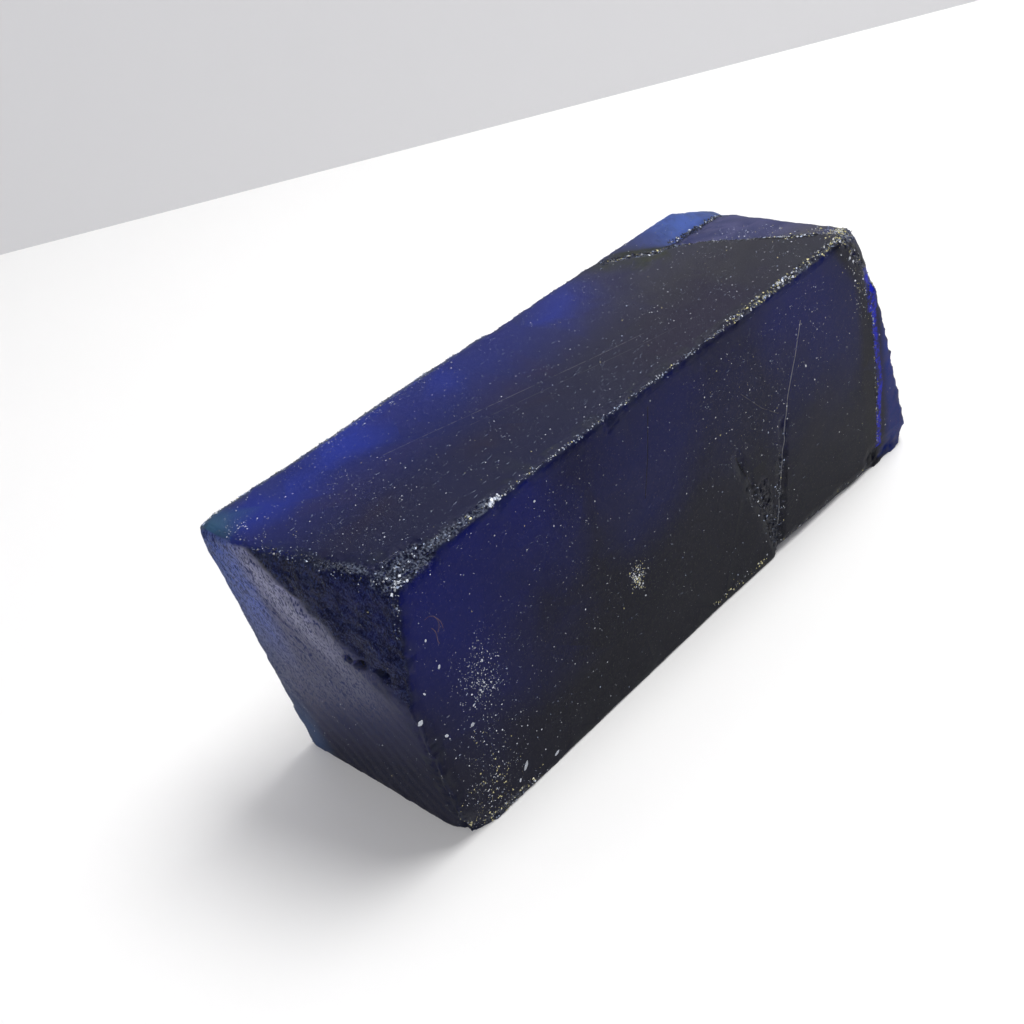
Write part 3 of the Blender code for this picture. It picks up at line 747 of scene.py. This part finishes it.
# Painted shade between the crumbs of crushed edges, and painted glints on them.
CRUMB_GAP_SHADE = (0.02, 0.025, 0.05, 1)
CRUMB_GLINT = (0.28, 0.33, 0.46, 1)
EDGE_SHADE = (0.005, 0.006, 0.014, 1)
# Painted light that comes through the thin edge of the narrow facet.
STRIP_PAINTED_GLOW = (0.0, 0.01, 1.0, 1)
LEDGE_SHADE = (0.004, 0.005, 0.008, 1)
CRACK_DARK = (0.0, 0.0, 0.002, 1)
CRACK_PALE = (0.42, 0.43, 0.47, 1)
DUST_FILM = (0.34, 0.38, 0.52, 1)
SPECULAR_TINT = (0.1, 0.1, 0.12, 1)
DEEP_BLUE = (0.0, 0.12, 0.92, 1)
DEEP_BLUE_DENSITY = 300      # per metre
SAPPHIRE_IOR = 1.77


def marks_of_breaks(n, place, colour):
    """Dark pits between the hazy grains of the lower break, and fine facets of the rough breaks."""
    grained = n.attribute("grained", "Fac")
    grains = n.noise(n.slanted(place, (4.2, 4.2, 1.9)), 1.0, 1.0)
    colour = n.mix(n.times(grained, n.ramp(grains, 0.48, 0.60)), colour, GRAIN_PIT)

    rugged = n.attribute("rugged", "Fac")
    facets = n.noise(n.slanted(place, (5.2, 5.2, 3.4)), 1.0, 2.0, 0.7)
    colour = n.mix(n.times(rugged, n.ramp(facets, 0.50, 0.40, 0.0, 0.75)), colour, SMALL_FACET_DARK)
    return n.mix(n.times(rugged, n.ramp(facets, 0.52, 0.64, 0.0, 0.75)), colour, SMALL_FACET_PALE)


def crushed_stone(n, z, crushed, fine, colour):
    """Paler stone where an edge is crushed, with painted glints on its crumbs and painted shade in the
    dark gaps between them.
    """
    crumbly = n.ramp(crushed, 0.25, 0.8, 0.0, 0.9)
    # Painted shade in the gaps between the crumbs.
    colour = n.mix(n.times(crumbly, n.ramp(fine, 0.50, 0.40)), colour, CRUMB_GAP_SHADE)
    # Painted glints on the crumbs, stronger higher up.
    glint = n.times(n.ramp(fine, 0.48, 0.60), n.ramp(z, 16.0, 30.0, 0.3, 1.0))
    return n.mix(n.times(crumbly, glint), colour, CRUMB_GLINT)


def on_front(n, y):
    """1 on the front face and 0 behind it."""
    return n.ramp(y, 0.5, 0.3)


def ragged(n, fine, coordinate, unevenness, back):
    """A coordinate that the fine noise moves forward from a little back, for lines with ragged sides."""
    return n.math("MULTIPLY_ADD", fine, unevenness, n.math("SUBTRACT", coordinate, back))


def strip_and_shades(n, axes, fine, mottle, colour):
    """The dark borders of the front face and its chip, and the vivid strip of painted light that comes
    through the thin edge of the narrow facet.
    """
    x, y, z = axes
    far_shade = n.times(n.line(z, x, FRONT_SHADE, 3.8), 0.9)
    shade = n.most(far_shade, n.times(n.line(z, x, CHIP_SHADE, 1.7), 0.75))
    colour = n.mix(n.times(shade, on_front(n, y)), colour, EDGE_SHADE)

    # Painted light: the vivid blue strip where light comes through the facet's thin edge.
    ragged_x = ragged(n, fine, x, 1.3, 0.65)
    strip = n.most(n.line(z, ragged_x, FACET_GLOW, 0.75), n.line(z, ragged_x, FACET_BLAZE, 1.35))
    strip = n.times(strip, n.ramp(y, 2.4, 2.0))
    return n.mix(n.times(strip, n.ramp(mottle, 0.42, 0.54, 0.15, 1.0)), colour, STRIP_PAINTED_GLOW)


def ledge_lines(n, axes, fine, colour):
    """Dark lines along the ledge of the top and the riser behind the bevelled corner."""
    x, y, z = axes
    ragged_y = ragged(n, fine, y, 1.3, 0.75)
    ledges = n.most(n.line(x, ragged_y, LEDGE_LINE, 0.50), n.line(x, ragged_y, RISER_LINE, 0.32))
    ledges = n.most(ledges, n.line(y, ragged(n, fine, x, 1.6, 0.8), LEDGE_DOWN, 1.1))
    ledges = n.times(ledges, n.ramp(z, 35.5, 36.5))
    return n.mix(n.times(ledges, 0.9), colour, LEDGE_SHADE)


def cracks_and_scratches(n, axes, mottle, colour):
    """Cracks of the front face and scratches of the top."""
    x, y, z = axes
    front = on_front(n, y)
    dark = n.most(n.line(z, x, DARK_CRACK, 0.22), n.line(z, x, UPRIGHT_CRACK, 0.14))
    colour = n.mix(n.times(n.times(dark, front), 0.8), colour, CRACK_DARK)

    white = n.times(n.line(z, x, WHITE_CRACK, 0.13), n.ramp(mottle, 0.36, 0.52, 0.15, 1.0))
    faint = n.times(n.line(z, x, FAINT_CRACK, 0.12), n.ramp(mottle, 0.4, 0.6, 0.0, 0.14))
    second = n.times(n.line(x, y, SECOND_SCRATCH, 0.08), 0.4)
    scratch = n.most(n.line(x, y, LONG_SCRATCH, 0.09), second)
    scratch = n.times(scratch, n.ramp(mottle, 0.38, 0.56, 0.03, 0.34))
    on_top = n.ramp(z, 39.7, 39.9)
    pale = n.times(n.most(n.times(white, 0.8), faint), front)
    return n.mix(n.most(pale, n.times(scratch, on_top)), colour, CRACK_PALE)


def sapphire_material():
    n = Nodes("sapphire")
    place, axes = n.place_in_mm()
    crushed = n.attribute("crushed", "Fac")
    mottle = n.noise(place, 0.9, 3.0, 0.65)
    fine = n.noise(place, 3.6, 2.0, 0.6)

    colour = marks_of_breaks(n, place, n.attribute("tint", "Color"))
    colour = crushed_stone(n, axes[2], crushed, fine, colour)
    colour = strip_and_shades(n, axes, fine, mottle, colour)
    colour = ledge_lines(n, axes, fine, colour)
    colour = cracks_and_scratches(n, axes, mottle, colour)
    film = n.most(n.ramp(mottle, 0.45, 0.75, 0.0, 0.012), n.ramp(fine, 0.60, 0.72, 0.0, 0.045))
    colour = n.mix(film, colour, DUST_FILM)

    shader = n.shader
    n.feed(shader.inputs["Base Color"], colour)
    shader.inputs["IOR"].default_value = SAPPHIRE_IOR
    shader.inputs["Specular IOR Level"].default_value = 0.0
    shader.inputs["Specular Tint"].default_value = SPECULAR_TINT
    shader.inputs["Transmission Weight"].default_value = 0.7
    # Dust dulls the surface, and crushed stone glitters more.
    rough = n.math("ADD", 0.46, n.times(mottle, 0.12))
    n.feed(shader.inputs["Roughness"], n.math("SUBTRACT", rough, n.times(crushed, 0.18)))

    bump = n.add("ShaderNodeBump")
    bump.inputs["Strength"].default_value = 0.35
    bump.inputs["Distance"].default_value = 0.05 * MM
    n.feed(bump.inputs["Height"], fine)
    n.feed(shader.inputs["Normal"], bump.outputs[0])

    absorb = n.add("ShaderNodeVolumeAbsorption")
    absorb.inputs["Color"].default_value = DEEP_BLUE
    absorb.inputs["Density"].default_value = DEEP_BLUE_DENSITY
    n.tree.links.new(absorb.outputs[0], n.output.inputs["Volume"])
    return n.material


# -------------------- loose grains and dust

WHITE = (0.62, 0.66, 0.74)
ICE = (0.30, 0.36, 0.50)
DARK = (0.03, 0.035, 0.06)
YELLOW = (0.62, 0.58, 0.30)

# Bands of crushed grains along the edges: both ends, half width, grains per mm, their sizes in mm, and the
# shares of white, pale blue, dark and yellowish ones.
GRAIN_BANDS = (
    ((-0.6, 2.0, 39.4), (4.5, 1.1, 39.9), 2.1, 30, (0.10, 0.34), (0.10, 0.34, 0.56, 0.0)),
    ((-0.8, 0.4, 38.9), (1.8, 0.4, 39.4), 1.0, 14, (0.12, 0.50), (0.40, 0.36, 0.24, 0.0)),
    ((4.5, 0.9, 40.0), (15.0, 0.5, 40.2), 0.65, 11, (0.09, 0.32), (0.12, 0.36, 0.50, 0.02)),
    ((14.2, 0.2, 40.2), (16.0, 0.3, 40.2), 0.5, 26, (0.20, 0.55), (0.70, 0.20, 0.10, 0.0)),
    ((15.0, 0.15, 40.2), (56.0, 0.15, 40.2), 0.32, 12, (0.08, 0.26), (0.26, 0.34, 0.34, 0.06)),
    ((56.0, 0.3, 40.2), (79.5, 0.4, 40.2), 0.60, 20, (0.08, 0.34), (0.22, 0.08, 0.38, 0.32)),
    ((66.0, 0.3, 40.2), (69.0, 0.4, 40.2), 0.50, 12, (0.12, 0.50), (0.50, 0.08, 0.10, 0.32)),
    ((79.0, 0.8, 40.0), (84.6, 3.6, 38.2), 1.30, 44, (0.10, 0.36), (0.24, 0.06, 0.20, 0.50)),
    ((84.6, 3.4, 38.2), (86.2, 1.8, 34.5), 0.60, 18, (0.12, 0.38), (0.30, 0.06, 0.26, 0.38)),
    ((86.2, 1.4, 34.5), (86.6, 0.6, 29.0), 0.45, 12, (0.10, 0.32), (0.34, 0.14, 0.24, 0.28)),
    ((79.7, 0.2, 40.0), (85.3, 0.1, 32.0), 0.50, 7, (0.08, 0.28), (0.14, 0.06, 0.56, 0.24)),
    ((85.4, 0.1, 30.0), (85.5, 0.3, 4.0), 0.30, 5, (0.12, 0.34), (0.14, 0.16, 0.60, 0.10)),
    ((-5.4, 17.5, 40.2), (-1.4, 5.0, 40.2), 0.60, 12, (0.10, 0.32), (0.02, 0.10, 0.88, 0.0)),
    ((-0.9, -0.1, 38.6), (-2.2, -0.1, 32.0), 0.60, 8, (0.10, 0.28), (0.10, 0.36, 0.54, 0.0)),
    ((60.4, 25.9, 39.9), (67.7, 21.2, 39.6), 0.55, 24, (0.16, 0.50), (0.04, 0.08, 0.80, 0.08)),
    ((67.7, 21.2, 39.6), (71.2, 17.3, 39.5), 0.40, 22, (0.16, 0.50), (0.06, 0.14, 0.78, 0.02)),
    ((71.2, 17.3, 39.5), (79.2, 3.4, 39.6), 0.40, 28, (0.18, 0.58), (0.06, 0.18, 0.74, 0.02)),
    ((70.3, 22.0, 39.0), (84.0, 23.9, 36.8), 0.30, 16, (0.16, 0.44), (0.06, 0.14, 0.80, 0.0)),
    ((76.0, 8.0, 39.2), (83.0, 4.5, 38.4), 1.90, 14, (0.12, 0.40), (0.30, 0.16, 0.10, 0.44)),
    ((74.0, 16.0, 39.0), (83.0, 12.0, 38.0), 2.60, 6, (0.10, 0.30), (0.40, 0.20, 0.10, 0.30)),
    ((-1.5, -1.0, 1.2), (11.0, -0.9, 0.8), 1.30, 16, (0.10, 0.34), (0.22, 0.12, 0.28, 0.38)),
    ((46.0, 0.0, 1.2), (58.0, 0.0, 1.4), 0.60, 5, (0.10, 0.36), (0.30, 0.0, 0.10, 0.60)),
    ((60.8, 0.4, 1.5), (84.0, 0.3, 1.4), 0.50, 3, (0.10, 0.30), (0.20, 0.10, 0.50, 0.20)),
    ((60.9, 0.0, 1.5), (63.4, 0.0, 16.0), 0.90, 10, (0.10, 0.28), (0.16, 0.14, 0.66, 0.04)),
    ((57.0, 0.0, 14.0), (61.4, 0.0, 3.0), 1.30, 12, (0.12, 0.42), (0.04, 0.06, 0.90, 0.0)),
    ((-6.3, 27.3, 40.1), (60.0, 27.6, 40.1), 0.60, 9, (0.10, 0.36), (0.22, 0.42, 0.26, 0.10)),
    ((60.0, 27.6, 40.1), (84.0, 27.0, 37.0), 0.50, 5, (0.10, 0.30), (0.20, 0.44, 0.30, 0.06)),
    ((-5.6, 27.6, 38.0), (-2.4, 28.6, 2.0), 0.60, 6, (0.10, 0.28), (0.18, 0.30, 0.40, 0.12)),
    ((-4.0, 28.6, 1.0), (90.0, 28.6, 1.0), 0.80, 4, (0.10, 0.28), (0.24, 0.30, 0.30, 0.16)),
    ((86.0, 27.4, 35.0), (94.0, 28.3, 4.0), 0.60, 6, (0.10, 0.28), (0.24, 0.36, 0.30, 0.10)),
)
# Patches of specks on the faces: middle, half sizes, how many, their sizes in mm, and the same shares. The
# specks of a small patch crowd towards its middle.
SPECK_PATCHES = (
    ((6.2, -0.5, 21.5), (4.4, 0.2, 5.4), 290, (0.07, 0.22), (0.86, 0.14, 0.0, 0.0)),
    ((7.0, -0.5, 18.8), (2.4, 0.2, 2.2), 70, (0.09, 0.30), (0.92, 0.08, 0.0, 0.0)),
    ((5.0, -0.7, 11.0), (7.0, 0.2, 9.0), 240, (0.07, 0.22), (0.62, 0.26, 0.0, 0.12)),
    ((3.5, -0.9, 5.5), (5.4, 0.2, 4.6), 240, (0.07, 0.26), (0.30, 0.14, 0.16, 0.40)),
    ((33.2, 0, 15.8), (1.5, 0.2, 2.2), 190, (0.10, 0.32), (0.50, 0.0, 0.10, 0.40)),
    ((40.0, 0, 20.0), (43.0, 0.2, 19.5), 1050, (0.06, 0.19), (0.50, 0.46, 0.0, 0.04)),
    ((14.0, 0, 22.0), (15.0, 0.2, 17.0), 380, (0.06, 0.20), (0.60, 0.40, 0.0, 0.0)),
    ((62.0, 0, 27.0), (13.0, 0.2, 10.0), 320, (0.07, 0.22), (0.54, 0.40, 0.0, 0.06)),
    ((81.5, 0, 36.0), (2.4, 0.2, 2.6), 18, (0.10, 0.30), (0.80, 0.08, 0.0, 0.12)),
    ((83.0, 0, 30.0), (2.4, 0.2, 6.0), 70, (0.10, 0.28), (0.70, 0.14, 0.0, 0.16)),
    ((38.0, 14.0, 40.2), (43.0, 13.5, 0.2), 1800, (0.06, 0.18), (0.46, 0.46, 0.02, 0.06)),
    ((64.0, 9.0, 40.2), (14.0, 9.0, 0.2), 330, (0.06, 0.22), (0.52, 0.34, 0.0, 0.14)),
    ((-4.0, 22.0, 40.2), (2.5, 4.0, 0.2), 50, (0.09, 0.26), (0.66, 0.34, 0.0, 0.0)),
    ((2.0, 12.0, 40.2), (8.0, 12.0, 0.2), 301, (0.06, 0.17), (0.60, 0.40, 0.0, 0.0)),
    ((20.0, 26.2, 40.2), (18.0, 1.2, 0.2), 170, (0.07, 0.26), (0.50, 0.36, 0.04, 0.10)),
    ((-4.0, 14.0, 22.0), (0.5, 13.0, 19.0), 301, (0.06, 0.15), (0.60, 0.38, 0.0, 0.02)),
    ((40.0, 28.5, 20.0), (44.0, 1.0, 19.0), 1300, (0.08, 0.26), (0.60, 0.34, 0.0, 0.06)),
    ((90.0, 14.0, 20.0), (4.0, 13.0, 18.0), 600, (0.08, 0.26), (0.60, 0.34, 0.0, 0.06)),
)
# Short pale scratches that run along the stone: middle, half sizes, how many, and their lengths in mm.
DASH_PATCHES = (
    ((33.0, 13.0, 40.2), (34.0, 12.5, 0.1), 200, (0.2, 0.7)),
    ((28.0, 6.0, 40.2), (20.0, 5.0, 0.1), 130, (0.2, 0.9)),
    ((40.0, 0.0, 22.0), (42.0, 0.1, 17.0), 90, (0.2, 0.7)),
)
DASH_WIDTH = 0.06
DASH_HEIGHT = 0.03
CROWDED = 300                # patches of fewer specks crowd towards their middle
# Single pale shards that cling to the front: X and Z, length, width, turn in degrees.
SHARDS = (
    (-2.6, 21.0, 0.95, 0.75, 10), (1.8, 26.1, 0.60, 0.34, 60), (3.7, 15.6, 0.62, 0.55, 20),
    (0.0, 17.0, 0.65, 0.40, 140), (9.2, 3.9, 1.50, 0.50, 52), (7.8, 2.6, 0.60, 0.26, 60),
    (14.2, 1.6, 0.95, 0.40, 20), (7.4, 22.6, 0.45, 0.25, 80), (20.0, 36.6, 0.35, 0.30, 0),
    (1.2, 30.4, 0.40, 0.25, 70), (69.9, 26.0, 0.45, 0.25, 100), (81.0, 36.6, 0.50, 0.45, 0),
    (82.0, 35.8, 0.45, 0.40, 30), (64.9, 20.3, 0.30, 0.22, 0), (-1.0, 24.3, 0.50, 0.22, 120),
    (4.6, 17.9, 0.35, 0.2, 30),
)
SHARD_SIDES = 6
SHARD_THICKNESS = 0.07
SHARD_SINK = 0.02
# Brownish fibres on the front: X and Z of the points they pass.
FIBRES = (
    ((1.6, 32.8), (2.7, 33.0), (3.5, 31.9), (3.4, 30.6), (2.6, 29.9)),
    ((2.2, 31.6), (2.9, 30.4), (2.5, 29.2), (3.1, 28.4)),
    ((3.3, 32.2), (3.9, 30.9), (3.6, 29.6)),
)
FIBRE_RADIUS = 0.022
FIBRE_STEPS = 4              # points laid between two of those
FIBRE_SMOOTHING = 2          # neighbours on either side that a point is averaged with
FIBRE_BROWN = (0.20, 0.12, 0.08)


def tone_of(draw, shares):
    """One of the four grain tones, a little lighter or darker."""
    pick, total = draw.random(), 0.0
    for share, tone in zip(shares, (WHITE, ICE, DARK, YELLOW)):
        total += share
        if pick <= total:
            break
    return lit(tone, draw.uniform(0.45, 1.15))


def lit(tone, light):
    """A tone made lighter or darker."""
    return [part * light for part in tone]


class Heap:
    """Many small solids that are gathered in one mesh, each with its own colour."""

    def __init__(self):
        self.corners, self.faces, self.tones = [], [], []

    def add(self, corners, faces, tone):
        start = len(self.corners)
        self.corners += corners
        self.faces += [tuple(start + index for index in face) for face in faces]
        self.tones += [(*tone, 1.0)] * len(corners)

    def grain(self, draw, place, normal, size, tone):
        """Small angular grain, half sunk in the surface."""
        turn = normal.to_track_quat("Z", "Y") @ Quaternion((0, 0, 1), draw.uniform(0, math.tau))
        reach = [size * draw.uniform(0.35, 0.65) for _ in range(2)] + [size * draw.uniform(0.2, 0.5)]
        self.spiked(draw, place, turn, reach, 0.22 * size, tone)

    def dash(self, draw, place, normal, length, tone):
        """Thin chip of dust that lies along the stone."""
        across = normal.cross(Vector((1, draw.gauss(0, 0.09), draw.gauss(0, 0.09)))).normalized()
        turn = Matrix((across.cross(normal), across, normal)).transposed().to_quaternion()
        reach = (length / 2, DASH_WIDTH / 2, DASH_HEIGHT)
        self.spiked(draw, place, turn, reach, 0.2 * DASH_WIDTH, tone)

    def spiked(self, draw, place, turn, reach, unevenness, tone):
        """Uneven solid with six corners and eight sides."""
        spikes = ((1, 0, 0), (0, 1, 0), (-1, 0, 0), (0, -1, 0), (0, 0, 1), (0, 0, -1))
        corners = []
        for spike in spikes:
            at = [part * long + draw.uniform(-1, 1) * unevenness for part, long in zip(spike, reach)]
            corners.append(clipped(place + (turn @ Vector(at)) * MM))
        faces = [(0, 1, 4), (1, 2, 4), (2, 3, 4), (3, 0, 4), (1, 0, 5), (2, 1, 5), (3, 2, 5), (0, 3, 5)]
        self.add(corners, faces, tone)

    def build(self, name, material):
        mesh = bpy.data.meshes.new(name)
        mesh.from_pydata(self.corners, [], self.faces)
        store(mesh, "tint", "FLOAT_COLOR", "color", self.tones)
        mesh.materials.append(material)
        piece = link_object(name, mesh)
        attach(piece, "root")


def clipped(point):
    """Point moved inside the CAD solid's box."""
    return Vector([min(high, max(low, part)) for part, low, high in zip(point, LOW, HIGH)])


def near_surface(surface, place):
    """Nearest point of the stone's surface to a place given in mm, and its outward normal."""
    point, normal, _, _ = surface.find_nearest(spot(*place))
    return point, normal


def between(span, share):
    return span[0] + (span[1] - span[0]) * share


def place_in_patch(draw, middle, spread):
    return [part + draw.uniform(-1, 1) * half for part, half in zip(middle, spread)]


def scatter_grains(surface):
    draw = random.Random(41)
    heap = Heap()
    for start, end, spread, per_mm, sizes, shares in GRAIN_BANDS:
        start, end = Vector(start), Vector(end)
        for _ in range(int((end - start).length * per_mm)):
            place = start.lerp(end, draw.random())
            place += Vector([draw.gauss(0, 0.5) * spread for _ in range(3)])
            point, normal = near_surface(surface, place)
            size = between(sizes, draw.random() ** 2)
            heap.grain(draw, point, normal, size, tone_of(draw, shares))
    heap.build("edge_grains", grain_material("crushed_grains", 0.25))


def scatter_specks(surface):
    draw = random.Random(7)
    heap = Heap()
    for middle, spread, count, sizes, shares in SPECK_PATCHES:
        for _ in range(count):
            place = place_in_patch(draw, middle, spread)
            if count < CROWDED:
                place = [part + draw.gauss(0, 0.45) * half for part, half in zip(middle, spread)]
            point, normal = near_surface(surface, place)
            size = between(sizes, draw.random() ** 3)
            heap.grain(draw, point, normal, size, tone_of(draw, shares))
    for middle, spread, count, lengths in DASH_PATCHES:
        for _ in range(count):
            point, normal = near_surface(surface, place_in_patch(draw, middle, spread))
            length = between(lengths, draw.random() ** 2)
            heap.dash(draw, point, normal, length, lit(ICE, draw.uniform(0.3, 0.75)))
    for x, z, length, width, turn in SHARDS:
        shard(heap, draw, surface, (x, z), (length, width), math.radians(turn))
    heap.build("dust_specks", grain_material("dust", 0.7))


def shard(heap, draw, surface, place, sizes, turn):
    """Thin angular flake that lies on the front face."""
    point, _ = near_surface(surface, (place[0], -1, place[1]))
    count = SHARD_SIDES
    rims = []
    for lift in (0.0, SHARD_THICKNESS):
        for number in range(count):
            angle = math.tau * number / count + 0.3 * math.sin(7 * number + 20 * place[0])
            a = 0.5 * sizes[0] * math.cos(angle) * (1 - lift)
            b = 0.5 * sizes[1] * math.sin(angle) * (1 - lift)
            across = a * math.cos(turn) - b * math.sin(turn)
            up = a * math.sin(turn) + b * math.cos(turn)
            rims.append(clipped(point + Vector((across, SHARD_SINK - lift, up)) * MM))
    sides = []
    for number in range(count):
        after = (number + 1) % count
        sides.append((number, after, count + after, count + number))
    caps = [tuple(reversed(range(count))), tuple(range(count, 2 * count))]
    heap.add(rims, sides + caps, lit(WHITE, draw.uniform(0.5, 0.95)))


def fibre_course(surface, course):
    """Smooth row of points on the front face that passes near the given ones."""
    lift = Vector((0, -FIBRE_RADIUS * MM, 0))
    stops = [near_surface(surface, (x, -1, z))[0] + lift for x, z in course]
    points = []
    for a, b in zip(stops, stops[1:]):
        points += [a.lerp(b, share / FIBRE_STEPS) for share in range(FIBRE_STEPS)]
    smooth = []
    for index in range(len(points)):
        around = points[max(0, index - FIBRE_SMOOTHING):index + FIBRE_SMOOTHING + 1]
        smooth.append(sum(around, Vector()) / len(around))
    return smooth


def lay_fibres(surface):
    """Three-sided tubes with closed ends."""
    heap = Heap()
    sides = [Vector((math.cos(turn), 0, math.sin(turn))) for turn in (0, 2.1, 4.2)]
    for course in FIBRES:
        rings = fibre_course(surface, course)
        corners = [clipped(at + side * FIBRE_RADIUS * MM) for at in rings for side in sides]
        last = 3 * len(rings) - 3
        faces = [(2, 1, 0), (last, last + 1, last + 2)]
        for row in range(len(rings) - 1):
            for side in range(3):
                a = 3 * row + side
                b = 3 * row + (side + 1) % 3
                faces.append((a, b, b + 3, a + 3))
        heap.add(corners, faces, FIBRE_BROWN)
    heap.build("fibres", grain_material("fibre", 0.6))


def grain_material(name, roughness):
    n = Nodes(name)
    n.feed(n.shader.inputs["Base Color"], n.attribute("tint", "Color"))
    n.shader.inputs["Roughness"].default_value = roughness
    return n.material


# -------------------- studio

WALL_START = (54.4, 225.6)   # X and Y in mm of the far edge of the white surface
WALL_END = (261.6, 85.8)
STAGE_REACH = 2.5            # m, from the middle to the sides of the floor
WALL_MORE = 1.5              # m, beyond both ends of that edge
WALL_HEIGHT = 1.2            # m
FLOOR_WHITE = (0.81, 0.807, 0.795)
WALL_GREY = (0.69, 0.688, 0.70)
STONE_MIDDLE = (40, 14, 20)
# Name, place in mm as on the stone, width in m and power in W.
LAMPS = (
    ("key", (230, -40, 520), 0.3, 2.7),
    ("fill", (-330, -260, 420), 0.5, 1.35),
)
ROOM_LIGHT = (0.94, 0.935, 1.0, 1)
ROOM_STRENGTH = 0.31


def plain(name, colour, roughness):
    n = Nodes(name)
    n.shader.inputs["Base Color"].default_value = (*colour, 1)
    n.shader.inputs["Roughness"].default_value = roughness
    return n.material


def sheet(name, corners, material):
    mesh = bpy.data.meshes.new(name)
    mesh.from_pydata(corners, [], [tuple(range(len(corners)))])
    mesh.materials.append(material)
    obj = link_object(name, mesh)


def add_lamp(name, place, size, power):
    """Round soft light, turned to the middle of the stone."""
    light = bpy.data.lights.new(name, "AREA")
    light.shape = "DISK"
    light.size = size
    light.energy = power
    lamp = bpy.data.objects.new(name, light)
    bpy.context.scene.collection.objects.link(lamp)
    lamp.location = spot(*place)
    lamp.rotation_euler = (spot(*place) - spot(*STONE_MIDDLE)).to_track_quat("Z", "Y").to_euler()


def add_studio():
    reach = STAGE_REACH
    floor = [(-reach, -reach, 0), (reach, -reach, 0), (reach, reach, 0), (-reach, reach, 0)]
    sheet("floor", floor, plain("floor_white", FLOOR_WHITE, 0.6))
    a = spot(*WALL_START, 0)
    b = spot(*WALL_END, 0)
    along = (b - a).normalized()
    a = a - along * WALL_MORE
    b = b + along * WALL_MORE
    up = Vector((0, 0, WALL_HEIGHT))
    sheet("wall", [a, b, b + up, a + up], plain("wall_grey", WALL_GREY, 0.8))

    for lamp in LAMPS:
        add_lamp(*lamp)

    world = bpy.data.worlds.new("studio")
    bpy.context.scene.world = world
    world.use_nodes = True
    background = world.node_tree.nodes["Background"]
    background.inputs["Color"].default_value = ROOM_LIGHT
    background.inputs["Strength"].default_value = ROOM_STRENGTH
    bpy.context.scene.view_settings.view_transform = "Standard"


add_camera()
add_studio()

stone = make_stone()
stone.data.materials.clear()
stone.data.materials.append(sapphire_material())
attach(stone, "root")
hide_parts(STONE)
surface = BVHTree.FromPolygons([vert.co for vert in stone.data.vertices],
                               [tuple(face.vertices) for face in stone.data.polygons])
scatter_grains(surface)
scatter_specks(surface)
lay_fibres(surface)
